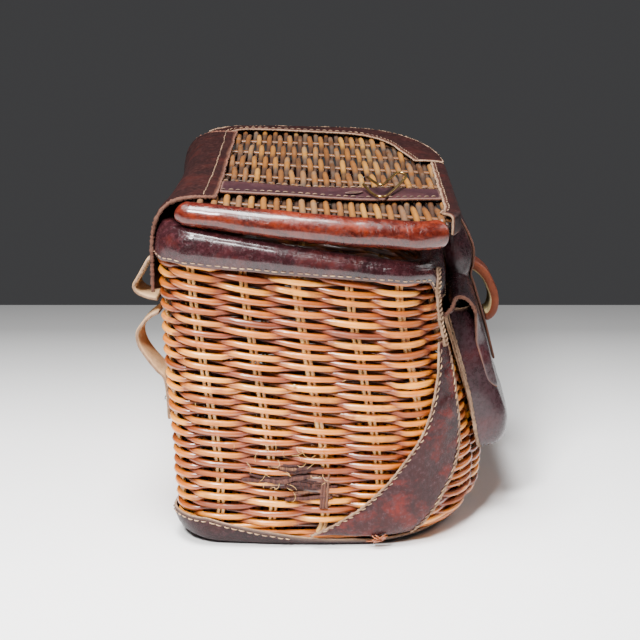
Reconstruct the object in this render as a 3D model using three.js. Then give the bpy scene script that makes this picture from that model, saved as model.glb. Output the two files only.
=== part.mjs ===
// A fishing creel: a kidney-shaped basket of woven willow, bound in leather, with a lid,
// a leather pouch on its front and straps behind. Millimetres, +Z up, front towards -Y.
import * as THREE from 'three';
import { mergeVertices } from 'three/addons/utils/BufferGeometryUtils.js';

// Basket
const bodyLength = 312;
const backReach = 117;
const frontReach = 116;
const wickerWall = 6;
const courseCount = 13;
const courseRelief = 1.6;
const floorThickness = 6;
const firstCourse = 0.035;
const frontBow = 8;
const backBow = -12;
const endBow = 7;
const frontCornerRadius = 70;
const farCornerRadius = 100;
const backCornerRadius = 27;
const farBackCornerRadius = 42;
const rimBackHeight = 234;
const rimFrontHeight = 203;

// Leather
const skin = 2.4;
const skinSeat = 0.6;
const gap = 0.35;
const rimLip = 3;
const rimInsideDepth = 14;
const rimBandBack = 24;
const rimBandEnd = 12;
const rimBandFront = 27;
const baseCornerHeight = 24;
const baseEndHeight = 5;

// Pouch, flap, closure strap and loop
const pouchLength = 208;
const pouchPlace = -9;
const pouchDepth = 25;
const pouchBottomHeight = 54;
const pouchBelowRim = 13;
const pouchTopHeight = rimFrontHeight - rimBandFront - pouchBelowRim;
const pouchWall = 2.2;
const pouchSideDepth = 3.2;
const pouchSideRound = 0.12;
const flapOverhang = 4;
const flapEndHeight = 101;
const flapRise = 13;
const flapCrown = pouchTopHeight + flapRise;
const strapWidth = 38;
const strapPlace = -15;
const strapBulge = 9;
const loopWidth = 26;
const loopPlace = 24;
const loopHeight = 51;
const loopReach = 17;
const loopThickness = 3.4;
const loopMiddleHeight = 144;

// Lid
const lidLength = 310;
const lidBackReach = 101;
const lidFrontReach = 99;
const lidLift = 17.5;
const lidTopHeight = rimBackHeight + lidLift;
const lidTilt = 1.4;
const lidNearDroop = 12;
const lidThickness = 7;
const lidNearCorner = 38;
const lidFarCornerLength = 126;
const lidFarCornerDepth = 74;
const lidBackCorner = 42;
const lidNearBackCorner = 12;
const lidBindingDrop = 12;
const lidFrontBindingWidth = 11;
const lidFarBindingWidth = 30;
const rollBackThickness = 14.5;
const rollFrontThickness = 20;
const rollInset = 5;
const crossStrapWidth = 33;
const crossStrapPlace = -102;
const crossStrapSweep = 24;
const slotLength = 15;
const slotWidth = 5;
const slotTurn = -56.5;
const wireThickness = 1.9;
const wireSpan = 52;
const wirePlace = 31;

// Hinge leather and back straps
const hingeLength = 262;
const hingePlace = -8;
const hingeTopWidth = 30;
const hingeFoot = 181;
const backStrapWidth = 26;
const backStrapThickness = 2.6;
const backStrapPlace = -112;
const backStrapReach = 23;
const rivetRadius = 2.6;
const rivetLength = 2;
const rivetShare = 0.41;

// Heights are shares of the rim's height, reaches shares of the basket's own, and corners
// shares of the front corners' radius.
const wallSections = [
  { at: 0.0, length: 0.93, back: 0.8, front: 0.7, corner: 0.8 },
  { at: 0.012, length: 0.952, back: 0.845, front: 0.77, corner: 0.86 },
  { at: 0.035, length: 0.976, back: 0.888, front: 0.86, corner: 0.93 },
  { at: 0.075, length: 0.993, back: 0.915, front: 0.945, corner: 0.98 },
  { at: 0.14, length: 1.0, back: 0.93, front: 0.99, corner: 1.0 },
  { at: 0.24, length: 1.0, back: 0.938, front: 1.0, corner: 1.0 },
  { at: 0.36, length: 1.0, back: 0.952, front: 0.965, corner: 0.93 },
  { at: 0.48, length: 1.0, back: 0.968, front: 0.91, corner: 0.83 },
  { at: 0.62, length: 0.998, back: 0.982, front: 0.835, corner: 0.72 },
  { at: 0.78, length: 0.994, back: 0.992, front: 0.745, corner: 0.6 },
  { at: 0.9, length: 0.992, back: 1.0, front: 0.7, corner: 0.54 },
  { at: 1.0, length: 0.985, back: 0.95, front: 0.68, corner: 0.5 },
];

// The plan is walked in eight stretches: near end, near front corner, front, far front
// corner, far end, far back corner, back, near back corner.
const stepsPerStretch = [5, 6, 6, 7, 4, 4, 6, 4];

function lookUp(table, at, column) {
  const last = table.length - 1;
  if (at <= table[0].at) return table[0][column];
  if (at >= table[last].at) return table[last][column];
  const next = table.findIndex((row) => row.at > at);
  const low = table[next - 1];
  const high = table[next];
  const share = (at - low.at) / (high.at - low.at);
  return low[column] + (high[column] - low[column]) * share;
}

const mix = (a, b, share) => a + (b - a) * share;
const clamp = (value, low, high) => Math.min(Math.max(value, low), high);

function stationList(from = 0, to = 8) {
  const stations = [from];
  for (let stretch = -1; stretch < 8; stretch++) {
    const steps = stepsPerStretch[(stretch + 8) % 8];
    for (let step = 0; step < steps; step++) {
      const station = stretch + step / steps;
      if (station > from + 0.02 && station < to - 0.02) stations.push(station);
    }
  }
  if (to < 8) stations.push(to);
  return stations;
}

function planPoint(station, plan) {
  const { half, back, front, corners, bows } = plan;
  const [nearFront, farFront, farBack, nearBack] = corners;
  const stretch = (Math.floor(station) + 8) % 8;
  const share = station - Math.floor(station);
  const turn = share * Math.PI / 2;
  const frontSide = -front;
  let x;
  let y;
  if (stretch === 0) {
    x = -half;
    y = mix(back - nearBack.y, frontSide + nearFront.y, share);
  } else if (stretch === 1) {
    x = -half + nearFront.x - nearFront.x * Math.cos(turn);
    y = frontSide + nearFront.y - nearFront.y * Math.sin(turn);
  } else if (stretch === 2) {
    x = mix(-half + nearFront.x, half - farFront.x, share);
    y = frontSide;
  } else if (stretch === 3) {
    x = half - farFront.x + farFront.x * Math.sin(turn);
    y = frontSide + farFront.y - farFront.y * Math.cos(turn);
  } else if (stretch === 4) {
    x = half;
    y = mix(frontSide + farFront.y, back - farBack.y, share);
  } else if (stretch === 5) {
    x = half - farBack.x + farBack.x * Math.cos(turn);
    y = back - farBack.y + farBack.y * Math.sin(turn);
  } else if (stretch === 6) {
    x = mix(half - farBack.x, -half + nearBack.x, share);
    y = back;
  } else {
    x = -half + nearBack.x - nearBack.x * Math.sin(turn);
    y = back - nearBack.y + nearBack.y * Math.cos(turn);
  }
  const middle = (back - front) / 2;
  const depthShare = (y - middle) / ((back + front) / 2);
  const lengthShare = x / half;
  const sideBow = y > middle ? bows.back : -bows.front;
  return {
    x: x + Math.sign(x) * bows.end * (1 - depthShare * depthShare),
    y: y + sideBow * (1 - lengthShare * lengthShare),
  };
}

function bodyPlan(at, offset) {
  const corner = lookUp(wallSections, at, 'corner');
  const frontRound = frontCornerRadius * corner + offset;
  const farRound = farCornerRadius * corner + offset;
  const backRound = backCornerRadius + offset;
  return {
    half: bodyLength / 2 * lookUp(wallSections, at, 'length') + offset,
    back: backReach * lookUp(wallSections, at, 'back') + offset,
    front: frontReach * lookUp(wallSections, at, 'front') + offset,
    corners: [
      { x: frontRound, y: frontRound },
      { x: farRound, y: farRound },
      { x: farBackCornerRadius + offset, y: farBackCornerRadius + offset },
      { x: backRound, y: backRound },
    ],
    bows: { front: frontBow, back: backBow, end: endBow },
  };
}

const rimFrontPlace = -frontReach * lookUp(wallSections, 1, 'front');
const rimBackPlace = backReach * lookUp(wallSections, 1, 'back');

function rimHeight(y) {
  return mix(rimFrontHeight, rimBackHeight, (y - rimFrontPlace) / (rimBackPlace - rimFrontPlace));
}

function wallPoint(station, at, offset, drop = 0) {
  const point = planPoint(station, bodyPlan(at, offset));
  return new THREE.Vector3(point.x, point.y, at * rimHeight(point.y) - drop);
}

// Where the front or back wall stands at a given length, height and offset.
function wallReach(x, height, offset, side) {
  let at = height / rimHeight(side < 0 ? rimFrontPlace : backReach);
  let y = 0;
  for (let turn = 0; turn < 6; turn++) {
    const plan = bodyPlan(clamp(at, 0, 1), offset);
    const reach = side < 0 ? plan.front : plan.back;
    const corner = plan.corners[side < 0 ? (x < 0 ? 0 : 1) : (x < 0 ? 3 : 2)];
    const past = clamp(Math.abs(x) - (plan.half - corner.x), 0, corner.x);
    const cut = corner.y - corner.y * Math.sqrt(1 - (past / corner.x) ** 2);
    const bow = side < 0 ? plan.bows.front : plan.bows.back;
    y = side * (reach - cut + bow * (1 - (x / plan.half) ** 2));
    at = height / rimHeight(y);
  }
  return y;
}

const bandMaterial = (color, roughness = 0.4) => (
  new THREE.MeshStandardMaterial({ color, roughness, metalness: 0 })
);
const willow = bandMaterial(0xb98245, 0.6);
const lidWillow = bandMaterial(0xa87038, 0.6);
const oxblood = bandMaterial(0x5a2a28, 0.35);
const redLeather = bandMaterial(0x7a2a1c, 0.25);
const darkLeather = bandMaterial(0x3e1e1e, 0.4);
const strapLeather = bandMaterial(0x45272b, 0.45);
const tanLeather = bandMaterial(0xcfae82, 0.7);
const brass = new THREE.MeshStandardMaterial({ color: 0x8a6a3a, roughness: 0.4, metalness: 0.9 });
const steel = new THREE.MeshStandardMaterial({ color: 0xc8c8c8, roughness: 0.3, metalness: 0.9 });

function solidFrom(points, faces) {
  const corners = [];
  for (const face of faces) {
    for (const index of face) corners.push(points[index].x, points[index].y, points[index].z);
  }
  const geometry = new THREE.BufferGeometry();
  geometry.setAttribute('position', new THREE.Float32BufferAttribute(corners, 3));
  const merged = mergeVertices(geometry, 1e-4);
  return facingOut(merged);
}

// Turns every face over where the body came out inside out.
function facingOut(geometry) {
  const place = geometry.attributes.position;
  const index = geometry.index.array;
  const corner = [new THREE.Vector3(), new THREE.Vector3(), new THREE.Vector3()];
  let volume = 0;
  for (let i = 0; i < index.length; i += 3) {
    corner.forEach((point, k) => point.fromBufferAttribute(place, index[i + k]));
    volume += corner[0].dot(corner[1].clone().cross(corner[2]));
  }
  if (volume < 0) {
    for (let i = 0; i < index.length; i += 3) {
      const kept = index[i + 1];
      index[i + 1] = index[i + 2];
      index[i + 2] = kept;
    }
  }
  geometry.computeVertexNormals();
  return geometry;
}

// The skin between rings of equal length, each ring closed on itself.
function skinFaces(rings, closesOnItself) {
  const count = rings[0].length;
  const faces = [];
  const bands = closesOnItself ? rings.length : rings.length - 1;
  for (let ring = 0; ring < bands; ring++) {
    const here = ring * count;
    const there = ((ring + 1) % rings.length) * count;
    for (let k = 0; k < count; k++) {
      const next = (k + 1) % count;
      faces.push([here + k, here + next, there + next]);
      faces.push([here + k, there + next, there + k]);
    }
  }
  return faces;
}

// A body skinned over rings, its end rings capped from their middles, or joined to each
// other when the skin closes on itself.
function ringSolid(rings, closesOnItself = false) {
  const points = rings.flat();
  const count = rings[0].length;
  const faces = skinFaces(rings, closesOnItself);
  if (!closesOnItself) {
    for (const [ring, flip] of [[0, true], [rings.length - 1, false]]) {
      const middle = rings[ring].reduce((sum, point) => sum.add(point), new THREE.Vector3());
      middle.divideScalar(count);
      const hub = points.push(middle) - 1;
      for (let k = 0; k < count; k++) {
        const a = ring * count + k;
        const b = ring * count + (k + 1) % count;
        faces.push(flip ? [a, hub, b] : [a, b, hub]);
      }
    }
  }
  return solidFrom(points, faces);
}

// A body swept through one bent section, its ends capped with the section's own outline.
function sectionSolid(rings, outline) {
  const faces = skinFaces(rings, false);
  const lastRing = (rings.length - 1) * outline.length;
  const counter = THREE.ShapeUtils.isClockWise(outline) ? -1 : 1;
  for (const [a, b, c] of THREE.ShapeUtils.triangulateShape(outline, [])) {
    const forward = new THREE.Vector3().crossVectors(
      new THREE.Vector3(outline[b].x - outline[a].x, outline[b].y - outline[a].y, 0),
      new THREE.Vector3(outline[c].x - outline[a].x, outline[c].y - outline[a].y, 0),
    ).z * counter > 0;
    const [second, third] = forward ? [b, c] : [c, b];
    faces.push([a, third, second]);
    faces.push([lastRing + a, lastRing + second, lastRing + third]);
  }
  return solidFrom(rings.flat(), faces);
}

// A sheet between two grids of points, closed along its four edges.
function sheetSolid(outer, inner) {
  const rows = outer.length;
  const columns = outer[0].length;
  const points = [...outer.flat(), ...inner.flat()];
  const shift = rows * columns;
  const faces = [];
  const quad = (a, b, c, d) => faces.push([a, b, c], [a, c, d]);
  for (let row = 0; row < rows - 1; row++) {
    for (let column = 0; column < columns - 1; column++) {
      const a = row * columns + column;
      quad(a, a + 1, a + columns + 1, a + columns);
      quad(shift + a, shift + a + columns, shift + a + columns + 1, shift + a + 1);
    }
    const left = row * columns;
    const right = left + columns - 1;
    quad(left, left + columns, shift + left + columns, shift + left);
    quad(right, shift + right, shift + right + columns, right + columns);
  }
  for (let column = 0; column < columns - 1; column++) {
    const top = column;
    const low = (rows - 1) * columns + column;
    quad(top, shift + top, shift + top + 1, top + 1);
    quad(low, low + 1, shift + low + 1, shift + low);
  }
  return solidFrom(points, faces);
}

function mesh(name, geometry, material) {
  const piece = new THREE.Mesh(geometry, material);
  piece.name = name;
  return piece;
}

// Basket of willow courses, each a low ridge, with its floor.
function basketBody() {
  const stations = stationList();
  const rings = [];
  const lift = skin + gap;
  const rimDrop = rimLip + gap;
  const steps = courseCount * 2;
  const footShares = [0, 0.35, 0.7];
  for (const share of footShares) {
    const at = firstCourse * share;
    rings.push(stations.map((station) => wallPoint(station, at, -courseRelief / 2, -lift)));
  }
  for (let step = 0; step <= steps; step++) {
    const at = mix(firstCourse, 1, step / steps);
    const inset = step % 2 === 0 ? courseRelief : 0;
    const drop = mix(-lift, rimDrop, at);
    rings.push(stations.map((station) => wallPoint(station, at, -inset, drop)));
  }
  const insideShares = [1, 0.8, 0.6, 0.4, 0.24, 0.12, 0.05];
  for (const at of insideShares) {
    const drop = mix(-lift - floorThickness, rimDrop, at);
    rings.push(stations.map((station) => wallPoint(station, at, -wickerWall - courseRelief, drop)));
  }
  return mesh('basket_body', ringSolid(rings), willow);
}

// How far the mouth's band reaches down outside.
function rimBandDrop(station, y) {
  const alongEnd = mix(rimBandBack, rimBandEnd, clamp((backReach - y) / (backReach * 1.4), 0, 1));
  const towardsFront = clamp(Math.min(station - 1.3, 3.7 - station) / 0.2, 0, 1);
  return mix(alongEnd, rimBandFront, towardsFront);
}

function rimBinding() {
  const stations = stationList();
  const inside = wickerWall + courseRelief;
  const section = [
    { offset: skinSeat, drop: 1 },
    { offset: skinSeat + skin, drop: 1 },
    { offset: skinSeat + skin, drop: 0 },
    { offset: skinSeat + skin / 2, drop: -0.12 },
    { offset: -inside - skinSeat - skin / 2, drop: -0.12 },
    { offset: -inside - skinSeat - skin, drop: 0 },
    { offset: -inside - skinSeat - skin, drop: 'inside' },
    { offset: -inside - skinSeat, drop: 'inside' },
    { offset: -inside - skinSeat, drop: 'under' },
    { offset: skinSeat, drop: 'under' },
  ];
  const rings = section.map(({ offset, drop }) => stations.map((station) => {
    const seat = wallPoint(station, 1, offset);
    const inward = { inside: rimInsideDepth, under: rimLip - gap };
    const down = inward[drop] ?? drop * rimBandDrop(station, seat.y);
    const at = 1 - Math.max(down, 0) / rimHeight(seat.y);
    const point = offset > 0 ? planPoint(station, bodyPlan(at, offset)) : seat;
    return new THREE.Vector3(point.x, point.y, rimHeight(seat.y) - down);
  }));
  return mesh('rim_binding', ringSolid(rings, true), oxblood);
}

// Leather tray under the foot, higher at the back than along the ends.
function baseTop(station) {
  const stretch = Math.floor(station) % 8;
  const share = station - Math.floor(station);
  const fallAlongEnd = baseEndHeight + (baseCornerHeight - baseEndHeight) * (1 - share) ** 2;
  const climbAlongEnd = baseEndHeight + (baseCornerHeight - baseEndHeight) * share ** 2;
  if (stretch === 0) return fallAlongEnd;
  if (stretch >= 1 && stretch <= 3) return baseEndHeight;
  if (stretch === 4) return climbAlongEnd;
  return baseCornerHeight;
}

function baseLeather() {
  const stations = stationList();
  const shares = [0, 0.2, 0.42, 0.7, 1];
  const ringAt = (share, offset, lift) => stations.map((station) => {
    const at = share * baseTop(station) / rimBackHeight;
    const point = planPoint(station, bodyPlan(at, offset));
    return new THREE.Vector3(point.x, point.y, at * rimHeight(point.y) + lift);
  });
  const outer = shares.map((share) => ringAt(share, skinSeat + skin, 0));
  const inner = shares.map((share) => ringAt(share, skinSeat, share === 0 ? skin : skin * (1 - share)));
  return mesh('base_leather', ringSolid([...outer, ...inner.reverse()]), oxblood);
}

// Crescent of leather round a front corner: heights as shares of the rim's height, edges as
// stations of the plan on the near side.
const crescentEdges = [
  { at: 0.045, endSide: 0.62, frontSide: 1.5 },
  { at: 0.09, endSide: 0.74, frontSide: 1.54 },
  { at: 0.15, endSide: 0.86, frontSide: 1.6 },
  { at: 0.22, endSide: 0.97, frontSide: 1.65 },
  { at: 0.31, endSide: 1.08, frontSide: 1.68 },
  { at: 0.42, endSide: 1.2, frontSide: 1.72 },
  { at: 0.54, endSide: 1.3, frontSide: 1.73 },
  { at: 0.64, endSide: 1.38, frontSide: 1.66 },
  { at: 0.73, endSide: 1.44, frontSide: 1.54 },
];

function cornerLeather(name, mirrored) {
  const columns = 6;
  const grid = (offset) => crescentEdges.map(({ at, endSide, frontSide }) => {
    const row = [];
    for (let column = 0; column <= columns; column++) {
      const station = mix(endSide, frontSide, column / columns);
      row.push(wallPoint(mirrored ? 5 - station : station, at, offset));
    }
    return row;
  });
  return mesh(name, sheetSolid(grid(skinSeat * 2 + skin), grid(skinSeat * 2)), redLeather);
}

// Pouch: depth as a share of its own at shares of its height.
const pouchSections = [
  { at: 0.0, depth: 0.55, length: 0.95 },
  { at: 0.04, depth: 0.76, length: 0.98 },
  { at: 0.12, depth: 0.9, length: 1.0 },
  { at: 0.25, depth: 1.0, length: 1.0 },
  { at: 0.42, depth: 0.84, length: 0.995 },
  { at: 0.65, depth: 0.86, length: 0.985 },
  { at: 0.85, depth: 0.84, length: 0.97 },
  { at: 1.0, depth: 0.72, length: 0.96 },
];

function pouchRing(share, inset, height) {
  const half = pouchLength / 2 * lookUp(pouchSections, share, 'length') - inset;
  const depth = pouchDepth * lookUp(pouchSections, share, 'depth');
  const seat = skinSeat * 2 + inset;
  const columns = 12;
  const backRow = [];
  const frontRow = [];
  for (let column = 0; column <= columns; column++) {
    const x = mix(-half, half, column / columns);
    const edge = clamp((half - Math.abs(x)) / (half * pouchSideRound), 0, 1);
    const round = Math.sqrt(1 - (1 - edge) ** 2);
    const out = mix(seat + pouchSideDepth, depth - inset, round);
    const place = x + pouchPlace;
    backRow.push(new THREE.Vector3(place, wallReach(place, height, seat, -1), height));
    frontRow.push(new THREE.Vector3(place, wallReach(place, height, out, -1), height));
  }
  return [...backRow, ...frontRow.reverse()];
}

function pouchBody() {
  const heightAt = (share) => mix(pouchBottomHeight, pouchTopHeight, share);
  const outer = pouchSections.map(({ at }) => pouchRing(at, 0, heightAt(at)));
  const insideShares = [1, 0.85, 0.65, 0.42, 0.25, 0.12, 0.06];
  const inner = insideShares.map((share) => pouchRing(share, pouchWall, heightAt(share)));
  return mesh('pouch_body', ringSolid([...outer, ...inner]), oxblood);
}

// Flap's way from the wall over the pouch's mouth and down its front: reach is a share of
// the pouch's depth, height a share of the way from the flap's end to its crown.
const flapSections = [
  { reach: 0.12, height: 0.87 },
  { reach: 0.22, height: 0.96 },
  { reach: 0.45, height: 1.0 },
  { reach: 0.7, height: 0.98 },
  { reach: 0.88, height: 0.9 },
  { reach: 0.96, height: 0.74 },
  { reach: 0.96, height: 0.5 },
  { reach: 0.92, height: 0.25 },
  { reach: 0.89, height: 0.0 },
];

function flapPoint(x, row, lift) {
  const before = flapSections[Math.max(row - 1, 0)];
  const after = flapSections[Math.min(row + 1, flapSections.length - 1)];
  const rise = (before.height - after.height) * (flapCrown - flapEndHeight);
  const run = (after.reach - before.reach) * pouchDepth;
  const size = Math.hypot(rise, run);
  const { reach, height } = flapSections[row];
  const z = mix(flapEndHeight, flapCrown, height) + lift * run / size;
  const out = reach * pouchDepth + lift * rise / size;
  return new THREE.Vector3(x, wallReach(x, z, out + skinSeat, -1), z);
}

function flapGrid(halfWidth, middle, columns, lift, firstRow = 0) {
  const rows = [];
  for (let row = firstRow; row < flapSections.length; row++) {
    const line = [];
    for (let column = 0; column <= columns; column++) {
      line.push(flapPoint(middle + mix(-halfWidth, halfWidth, column / columns), row, lift));
    }
    rows.push(line);
  }
  return rows;
}

function pouchFlap() {
  const half = pouchLength / 2 + flapOverhang;
  return mesh('pouch_flap', sheetSolid(
    flapGrid(half, pouchPlace, 14, skin),
    flapGrid(half, pouchPlace, 14, 0),
  ), oxblood);
}

// Closure strap: hangs free from the lid's front edge and then lies on the flap.
function closureStrap() {
  const half = strapWidth / 2;
  const columns = 2;
  const free = [
    { share: 0, out: 0 },
    { share: 0.3, out: 0.78 },
    { share: 0.65, out: 1 },
  ];
  const grid = (lift) => {
    const lying = flapGrid(half, strapPlace, columns, gap * 2 + skin + lift, 4);
    const hanging = free.map(({ share, out }) => lying[0].map((foot) => {
      const lidEdge = lidWorldPoint(foot.x, -lidFrontReach + skin, -lidBindingDrop - gap);
      return new THREE.Vector3(
        foot.x,
        mix(lidEdge.y, foot.y, share) - out * strapBulge - lift * (0.5 + 0.5 * share),
        mix(lidEdge.z, foot.z, share) + (share === 0 ? 0 : lift * 0.5),
      );
    }));
    return [...hanging, ...lying];
  };
  return mesh('closure_strap', sheetSolid(grid(skin), grid(0)), strapLeather);
}

// D-shaped loop of leather that stands out from the flap, open along the creel's length.
function frontLoop() {
  const steps = 12;
  const band = (thin, side) => {
    const line = [];
    for (let step = 0; step <= steps; step++) {
      const turn = mix(-Math.PI / 2, Math.PI / 2, step / steps);
      const rise = Math.sin(turn) * (loopHeight / 2 - thin);
      const z = loopMiddleHeight + rise;
      const seat = skinSeat + flapReachAt(z) + skin + gap * 4;
      const out = Math.cos(turn) * (loopReach - thin);
      line.push(new THREE.Vector3(
        loopPlace + side * loopWidth / 2,
        wallReach(loopPlace, z, seat + out, -1),
        z,
      ));
    }
    return line;
  };
  const outer = [band(0, -1), band(0, 1)];
  const inner = [band(loopThickness, -1), band(loopThickness, 1)];
  return mesh('front_loop', sheetSolid(outer, inner), redLeather);
}

function flapReachAt(z) {
  const height = (z - flapEndHeight) / (flapCrown - flapEndHeight);
  for (let row = flapSections.length - 1; row > 0; row--) {
    const low = flapSections[row];
    const high = flapSections[row - 1];
    if (height <= high.height) {
      const share = clamp((height - low.height) / (high.height - low.height), 0, 1);
      return mix(low.reach, high.reach, share) * pouchDepth;
    }
  }
  return pouchDepth;
}

// Lid pieces lie in a tilted group whose origin is on the lid's back edge at its top.
const tilt = THREE.MathUtils.degToRad(lidTilt);

// The lid's near front corner hangs lower than the rest of its top.
function lidDroop(x, y) {
  const towardsNear = clamp((lidLength / 2 - x) / lidLength, 0, 1.1);
  return -lidNearDroop * towardsNear * (lidBackReach - y) / (lidBackReach + lidFrontReach);
}

function lidWorldPoint(x, y, z) {
  const point = new THREE.Vector3(x, y - lidBackReach, z + lidDroop(x, y));
  point.applyAxisAngle(new THREE.Vector3(1, 0, 0), tilt);
  return point.add(new THREE.Vector3(0, lidBackReach, lidTopHeight));
}

function lidPlan(inset) {
  const round = (x, y) => ({ x: x - inset, y: y - inset });
  return {
    half: lidLength / 2 - inset,
    back: lidBackReach - inset,
    front: lidFrontReach - inset,
    corners: [
      round(lidNearCorner, lidNearCorner),
      round(lidFarCornerLength, lidFarCornerDepth),
      round(lidBackCorner, lidBackCorner),
      round(lidNearBackCorner, lidNearBackCorner),
    ],
    bows: { front: 0, back: backBow, end: endBow },
  };
}

function lidPoint(station, inset, z) {
  const edge = planPoint(station, lidPlan(0));
  const deeper = planPoint(station, lidPlan(1));
  const size = Math.hypot(deeper.x - edge.x, deeper.y - edge.y);
  const x = edge.x + (deeper.x - edge.x) / size * inset;
  const y = edge.y + (deeper.y - edge.y) / size * inset;
  return new THREE.Vector3(x, y - lidBackReach, z + lidDroop(x, y));
}

const rollStart = -0.45;
const rollEnd = 1.5;

function rollThickness(station) {
  const share = (station - rollStart) / (rollEnd - rollStart);
  return mix(rollBackThickness, rollFrontThickness, clamp(share * 2, 0, 1));
}

function panelInset(station) {
  const besideRoll = station <= rollEnd + 0.01 || station >= 8 + rollStart - 0.2;
  const walked = station > 4 ? station - 8 : station;
  return besideRoll ? rollInset + rollThickness(walked) / 2 + gap : skin + gap;
}

function lidPanel() {
  const stations = stationList();
  const middle = new THREE.Vector2(0, 0);
  const layer = (share, z) => stations.map((station) => {
    const edge = lidPoint(station, panelInset(station), 0);
    const x = mix(middle.x, edge.x, share);
    const y = mix(middle.y, edge.y + lidBackReach, share);
    return new THREE.Vector3(x, y - lidBackReach, z + lidDroop(x, y));
  });
  const shares = [0.34, 0.68, 1];
  const under = shares.map((share) => layer(share, -lidThickness));
  const top = shares.map((share) => layer(share, 0)).reverse();
  return mesh('lid_panel', ringSolid([...under, ...top]), lidWillow);
}

function lidBinding(name, from, to, width) {
  const section = [
    { inset: width, z: gap },
    { inset: width, z: gap + skin },
    { inset: skin / 2, z: gap + skin },
    { inset: 0, z: gap + skin / 2 },
    { inset: 0, z: -lidBindingDrop },
    { inset: skin, z: -lidBindingDrop },
    { inset: skin, z: gap },
  ];
  const outline = section.map(({ inset, z }) => new THREE.Vector2(inset, z));
  const rings = stationList(from, to).map((station) => (
    section.map(({ inset, z }) => lidPoint(station, inset, z))
  ));
  return mesh(name, sectionSolid(rings, outline), darkLeather);
}

// Padded roll round the lid's near end, from its back tip round the front corner.
function lidEndRoll() {
  const sides = 10;
  const stations = stationList(rollStart, rollEnd);
  const last = stations.length - 1;
  const rings = stations.map((station, k) => {
    const tip = Math.min(1, (k + 0.5) / 2, (last - k + 0.5) / 2);
    const whole = rollThickness(station);
    const thick = whole * Math.sqrt(tip) / 2;
    const middle = lidPoint(station, rollInset, gap - whole / 2);
    const inward = lidPoint(station, rollInset + 1, 0).sub(middle).setZ(0).normalize();
    const ring = [];
    for (let side = 0; side < sides; side++) {
      const turn = side / sides * Math.PI * 2;
      const point = middle.clone().addScaledVector(inward, Math.cos(turn) * thick);
      point.z += Math.sin(turn) * thick;
      ring.push(point);
    }
    return ring;
  });
  return mesh('lid_end_roll', ringSolid(rings), redLeather);
}

function crossStrapMiddle(share) {
  return crossStrapPlace + crossStrapSweep * share * share;
}

function lidCrossStrap() {
  const back = lidBackReach - hingeTopWidth - gap * 2;
  const front = -lidFrontReach + lidFrontBindingWidth + gap * 2;
  const outline = new THREE.Shape();
  const steps = 8;
  const edge = (share, side) => new THREE.Vector2(
    crossStrapMiddle(share) + side * crossStrapWidth / 2,
    mix(back, front, share) - lidBackReach,
  );
  const points = [];
  for (let step = 0; step <= steps; step++) points.push(edge(step / steps, -1));
  for (let step = steps; step >= 0; step--) points.push(edge(step / steps, 1));
  outline.setFromPoints(points);
  const slotShare = 0.6;
  const slotShift = 0.12;
  const slotMiddle = new THREE.Vector2(
    crossStrapMiddle(slotShare) - crossStrapWidth * slotShift,
    mix(back, front, slotShare) - lidBackReach,
  );
  const turned = THREE.MathUtils.degToRad(slotTurn);
  const along = new THREE.Vector2(Math.cos(turned), Math.sin(turned));
  const across = new THREE.Vector2(-along.y, along.x);
  const slotOutline = [
    { far: -1, wide: 0 },
    { far: -0.5, wide: 0.8 },
    { far: 0, wide: 1 },
    { far: 0.5, wide: 0.8 },
    { far: 1, wide: 0 },
    { far: 0.5, wide: -0.8 },
    { far: 0, wide: -1 },
    { far: -0.5, wide: -0.8 },
  ];
  const slot = slotOutline.map(({ far, wide }) => slotMiddle.clone()
    .addScaledVector(along, far * slotLength / 2)
    .addScaledVector(across, wide * slotWidth / 2));
  outline.holes.push(new THREE.Path(slot));
  const strap = new THREE.ExtrudeGeometry(outline, { depth: skin, bevelEnabled: false });
  const place = strap.attributes.position;
  for (let k = 0; k < place.count; k++) {
    const lift = gap * 2 + lidDroop(place.getX(k), place.getY(k) + lidBackReach);
    place.setZ(k, place.getZ(k) + lift);
  }
  return mesh('lid_cross_strap', strap, strapLeather);
}

// Bent brass wire, a long V with one leg folded back, lying on the cross strap: its bends
// as shares of its span from the strap's place, towards the front and up.
const wireBends = [
  { along: 0.31, across: 0, up: 0.058 },
  { along: 0, across: 0.115, up: 0.012 },
  { along: -0.135, across: 0.23, up: 0.006 },
  { along: 0.04, across: 0.346, up: 0.012 },
  { along: 0.54, across: 0.54, up: 0.077 },
  { along: 0.81, across: 0.615, up: 0.115 },
  { along: 0.865, across: 0.5, up: 0.135 },
  { along: 0.46, across: 0.365, up: 0.125 },
  { along: 0.135, across: 0.23, up: 0.106 },
  { along: 0.58, across: 0.058, up: 0.106 },
];

function wireClip() {
  const rest = gap * 3 + skin + wireThickness / 2;
  const route = wireBends.map(({ along, across, up }) => {
    const x = crossStrapPlace + along * wireSpan;
    const forward = wirePlace + across * wireSpan;
    const lift = rest + up * wireSpan + lidDroop(x, -forward);
    return new THREE.Vector3(x, -lidBackReach - forward, lift);
  });
  const curve = new THREE.CatmullRomCurve3(route, false, 'centripetal');
  const sides = 6;
  const section = new THREE.Shape();
  const turns = [];
  for (let side = 0; side < sides; side++) {
    const turn = side / sides * Math.PI * 2;
    turns.push(new THREE.Vector2(Math.cos(turn), Math.sin(turn)).multiplyScalar(wireThickness / 2));
  }
  section.setFromPoints(turns);
  const wire = new THREE.ExtrudeGeometry(section, { steps: 44, extrudePath: curve, bevelEnabled: false });
  return mesh('wire_clip', wire, brass);
}

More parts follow.
